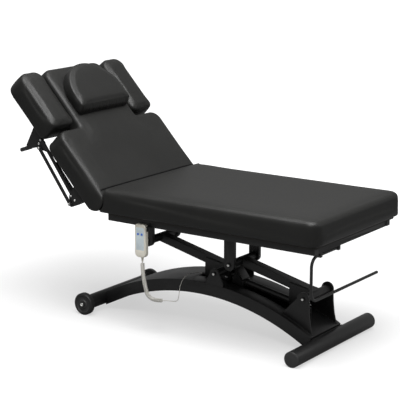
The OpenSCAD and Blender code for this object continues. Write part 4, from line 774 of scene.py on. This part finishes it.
rings = []
for inset, depth in cushion_levels(cushion_t, back_edge_r, low_edge_r, crown_rise, side_swell, crown_w):
    inset = min(inset, back_crown_w)
    end = hinge_r - np.sqrt(max(hinge_r**2 - (depth - hinge_r) ** 2, 0)) - inset
    side_a = [[end, -half, -1, -1, hinge_corner_r, False], [shoulder_len, -half, 1, -1, corner_r, False],
              [shoulder_len, -head_w / 2, 1, -1, hinge_corner_r, True],
              [back_len, -head_w / 2, 1, -1, corner_r, False]]
    side_b = [[x, -y, sx, -sy, r, hollow] for x, y, sx, sy, r, hollow in side_a[::-1]]
    ring = ring_of(side_a + side_b, inset)
    rings.append(np.column_stack([ring, np.full(len(ring), -depth)]))
lug_slots = [((-0.02, y - 0.013, -0.14), (0.128, y + 0.013, -0.036)) for y in (-0.19, 0.19)]
back = padded_form("back_cushion_leather", np.array(rings), voxel=0.007, cap=0.003, held=back_held,
                   slots=lug_slots)
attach(paint(onto_back(back), leather), "back")
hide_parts("back_cushion")

# Painted shade in the seam: a narrow strip of near-black matte stuff, drawn as a cloth binding across the foot of
# the back where its face meets the seat, that darkens the seam as its shadow would. It lies on the leather, so each
# of its points is found by a ray straight onto the back.
seam_shade_black = finish("matte_black_seam_shade", (0.0035, 0.0035, 0.0035), 0.9, specular=0.1, patch=60, shade=0.2,
                       grain=2500, grain_depth=0.00004)
shade_start, shade_end, shade_end_gap = 65.5, 75.2, 22
inward = on_back(0, 0, 10) - on_back(0, 0, 0)
inward /= np.linalg.norm(inward)
shade_strip = []
for y in np.linspace(shade_end_gap - 1000 * half, 1000 * half - shade_end_gap, 64):
    hits = [(back.ray_cast(on_back(s, y, -20), inward), on_back(s, y, 0))
            for s in np.linspace(shade_start, shade_end, 6)]
    shade_strip.append([np.array(spot) if hit else flat for (hit, spot, _, _), flat in hits])
shade_strip = np.array(shade_strip)
off = -inward
rise = np.array([-0.0004, 0.0007, 0.0009, 0.0009, 0.0007, -0.0004])[None, :, None] * off
under = (shade_strip - 0.0010 * off)[:, ::-1]
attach(paint(surface("painted_seam_shadow", np.concatenate([shade_strip + rise, under], axis=1), wrap=True, capped=True),
              seam_shade_black), "back")

# The armrests: two narrow pads as thick as the back, one on either side of its head part, with room to sink.
for side, sign in (("near", -1), ("far", 1)):
    rings = []
    for inset, depth in cushion_levels(cushion_t, armrest_edge_r, low_edge_r, crown_rise, side_swell,
                                       armrest_crown_w):
        start, inner = shoulder_len + armrest_gap_s, -head_w / 2 - armrest_gap_y
        ring = ring_of([[start, -half, -1, -1, armrest_corner_r, False], [back_len, -half, 1, -1, corner_r, False],
                        [back_len, inner, 1, 1, corner_r, False], [start, inner, -1, 1, armrest_corner_r, False]],
                       inset)
        rings.append(np.column_stack([ring[:, 0], -sign * ring[:, 1], np.full(len(ring), -depth)]))
    rest_pad = padded_form(side + "_armrest_leather", np.array(rings), voxel=0.005, cap=0.0035,
                           held=lambda p: lift_off(-p[:, 2], cushion_t))
    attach(paint(onto_back(finer(rest_pad)), leather), side + "_armrest")
    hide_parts(side + "_armrest_cushion")

# The head pillow: a D-shaped pad that lies on the head part and slides along it. Its straight front leans back
# towards the top, and the leather there is gathered in fine pleats.
pillow_w, pillow_len, pillow_t, pillow_start = 0.385, 0.270, 0.058, 0.4834
pillow_straight, pillow_lean, pillow_gap, pleat_depth = 0.090, 0.024, 0.0006, 0.0009
rings = []
for inset, depth in cushion_levels(pillow_t, r=0.009, low_r=0.008, rise=0.003, swell=0.0015, flat=0.070):
    a = np.linspace(-np.pi / 2, np.pi / 2, 41)
    lean = pillow_lean * (1 - depth / pillow_t)
    arc = np.column_stack([pillow_start + pillow_straight + (pillow_len - pillow_straight - inset) * np.cos(a),
                           (pillow_w / 2 - inset) * np.sin(a)])
    front = [ring_of([[pillow_start + lean, s * pillow_w / 2, -1, s, 0.014, False]], inset) for s in (-1, 1)]
    ring = np.vstack([front[0], arc, front[1]])
    rings.append(np.column_stack([ring, np.full(len(ring), pillow_t + pillow_gap - depth)]))
pillow = padded_form("pillow_leather", np.array(rings), voxel=0.004, cap=0.004,
                     held=lambda p: lift_off(pillow_t - p[:, 2], pillow_t))
finer(pillow)
co = points_of(pillow)
front_face = np.clip(1 - (co[:, 0] - pillow_start) / 0.034, 0, 1) * np.clip((co[:, 2] - 0.004) / 0.012, 0, 1)
pleats = (np.sin(190 * co[:, 1] + 90 * co[:, 2]) * np.sin(47 * co[:, 1] + 0.7)
          + 0.6 * np.sin(330 * co[:, 1] - 140 * co[:, 2]))
co[:, 0] += pleat_depth * front_face * pleats
pillow.data.vertices.foreach_set("co", co.ravel())
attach(paint(onto_back(pillow), leather), "pillow")
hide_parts("pillow")

# The hand control: a warm white shell with a pale keypad film and two round blue keys, in its black holder on
# the near rail.
shell_white = finish("warm_white_shell_plastic", (0.76, 0.73, 0.64), 0.35, patch=30, shade=0.04, grain=1800)
film = finish("pale_keypad_film", (0.66, 0.75, 0.79), 0.3, patch=60, shade=0.05, grain=2500)
key_blue = finish("blue_key_plastic", (0.06, 0.19, 0.70), 0.3, patch=80, shade=0.05, grain=2500)
for node, edge, material, slot, body in (
        ("handset_holder", 0.0008, black_plastic, "black_plastic", "top_frame"),
        ("handset_shell", 0.0015, shell_white, "light_plastic", "top_frame"),
        ("handset_membrane", 0.0002, film, "membrane", "top_frame"),
        ("handset_relief", 0.0006, shell_white, "light_plastic", "top_frame"),
        ("up_button", 0.0006, key_blue, "blue_button", "up_button"),
        ("down_button", 0.0006, key_blue, "blue_button", "down_button")):
    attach(paint(eased(node, node + "_moulded", edge), material), body)

bpy.context.scene.view_settings.view_transform = "Standard"
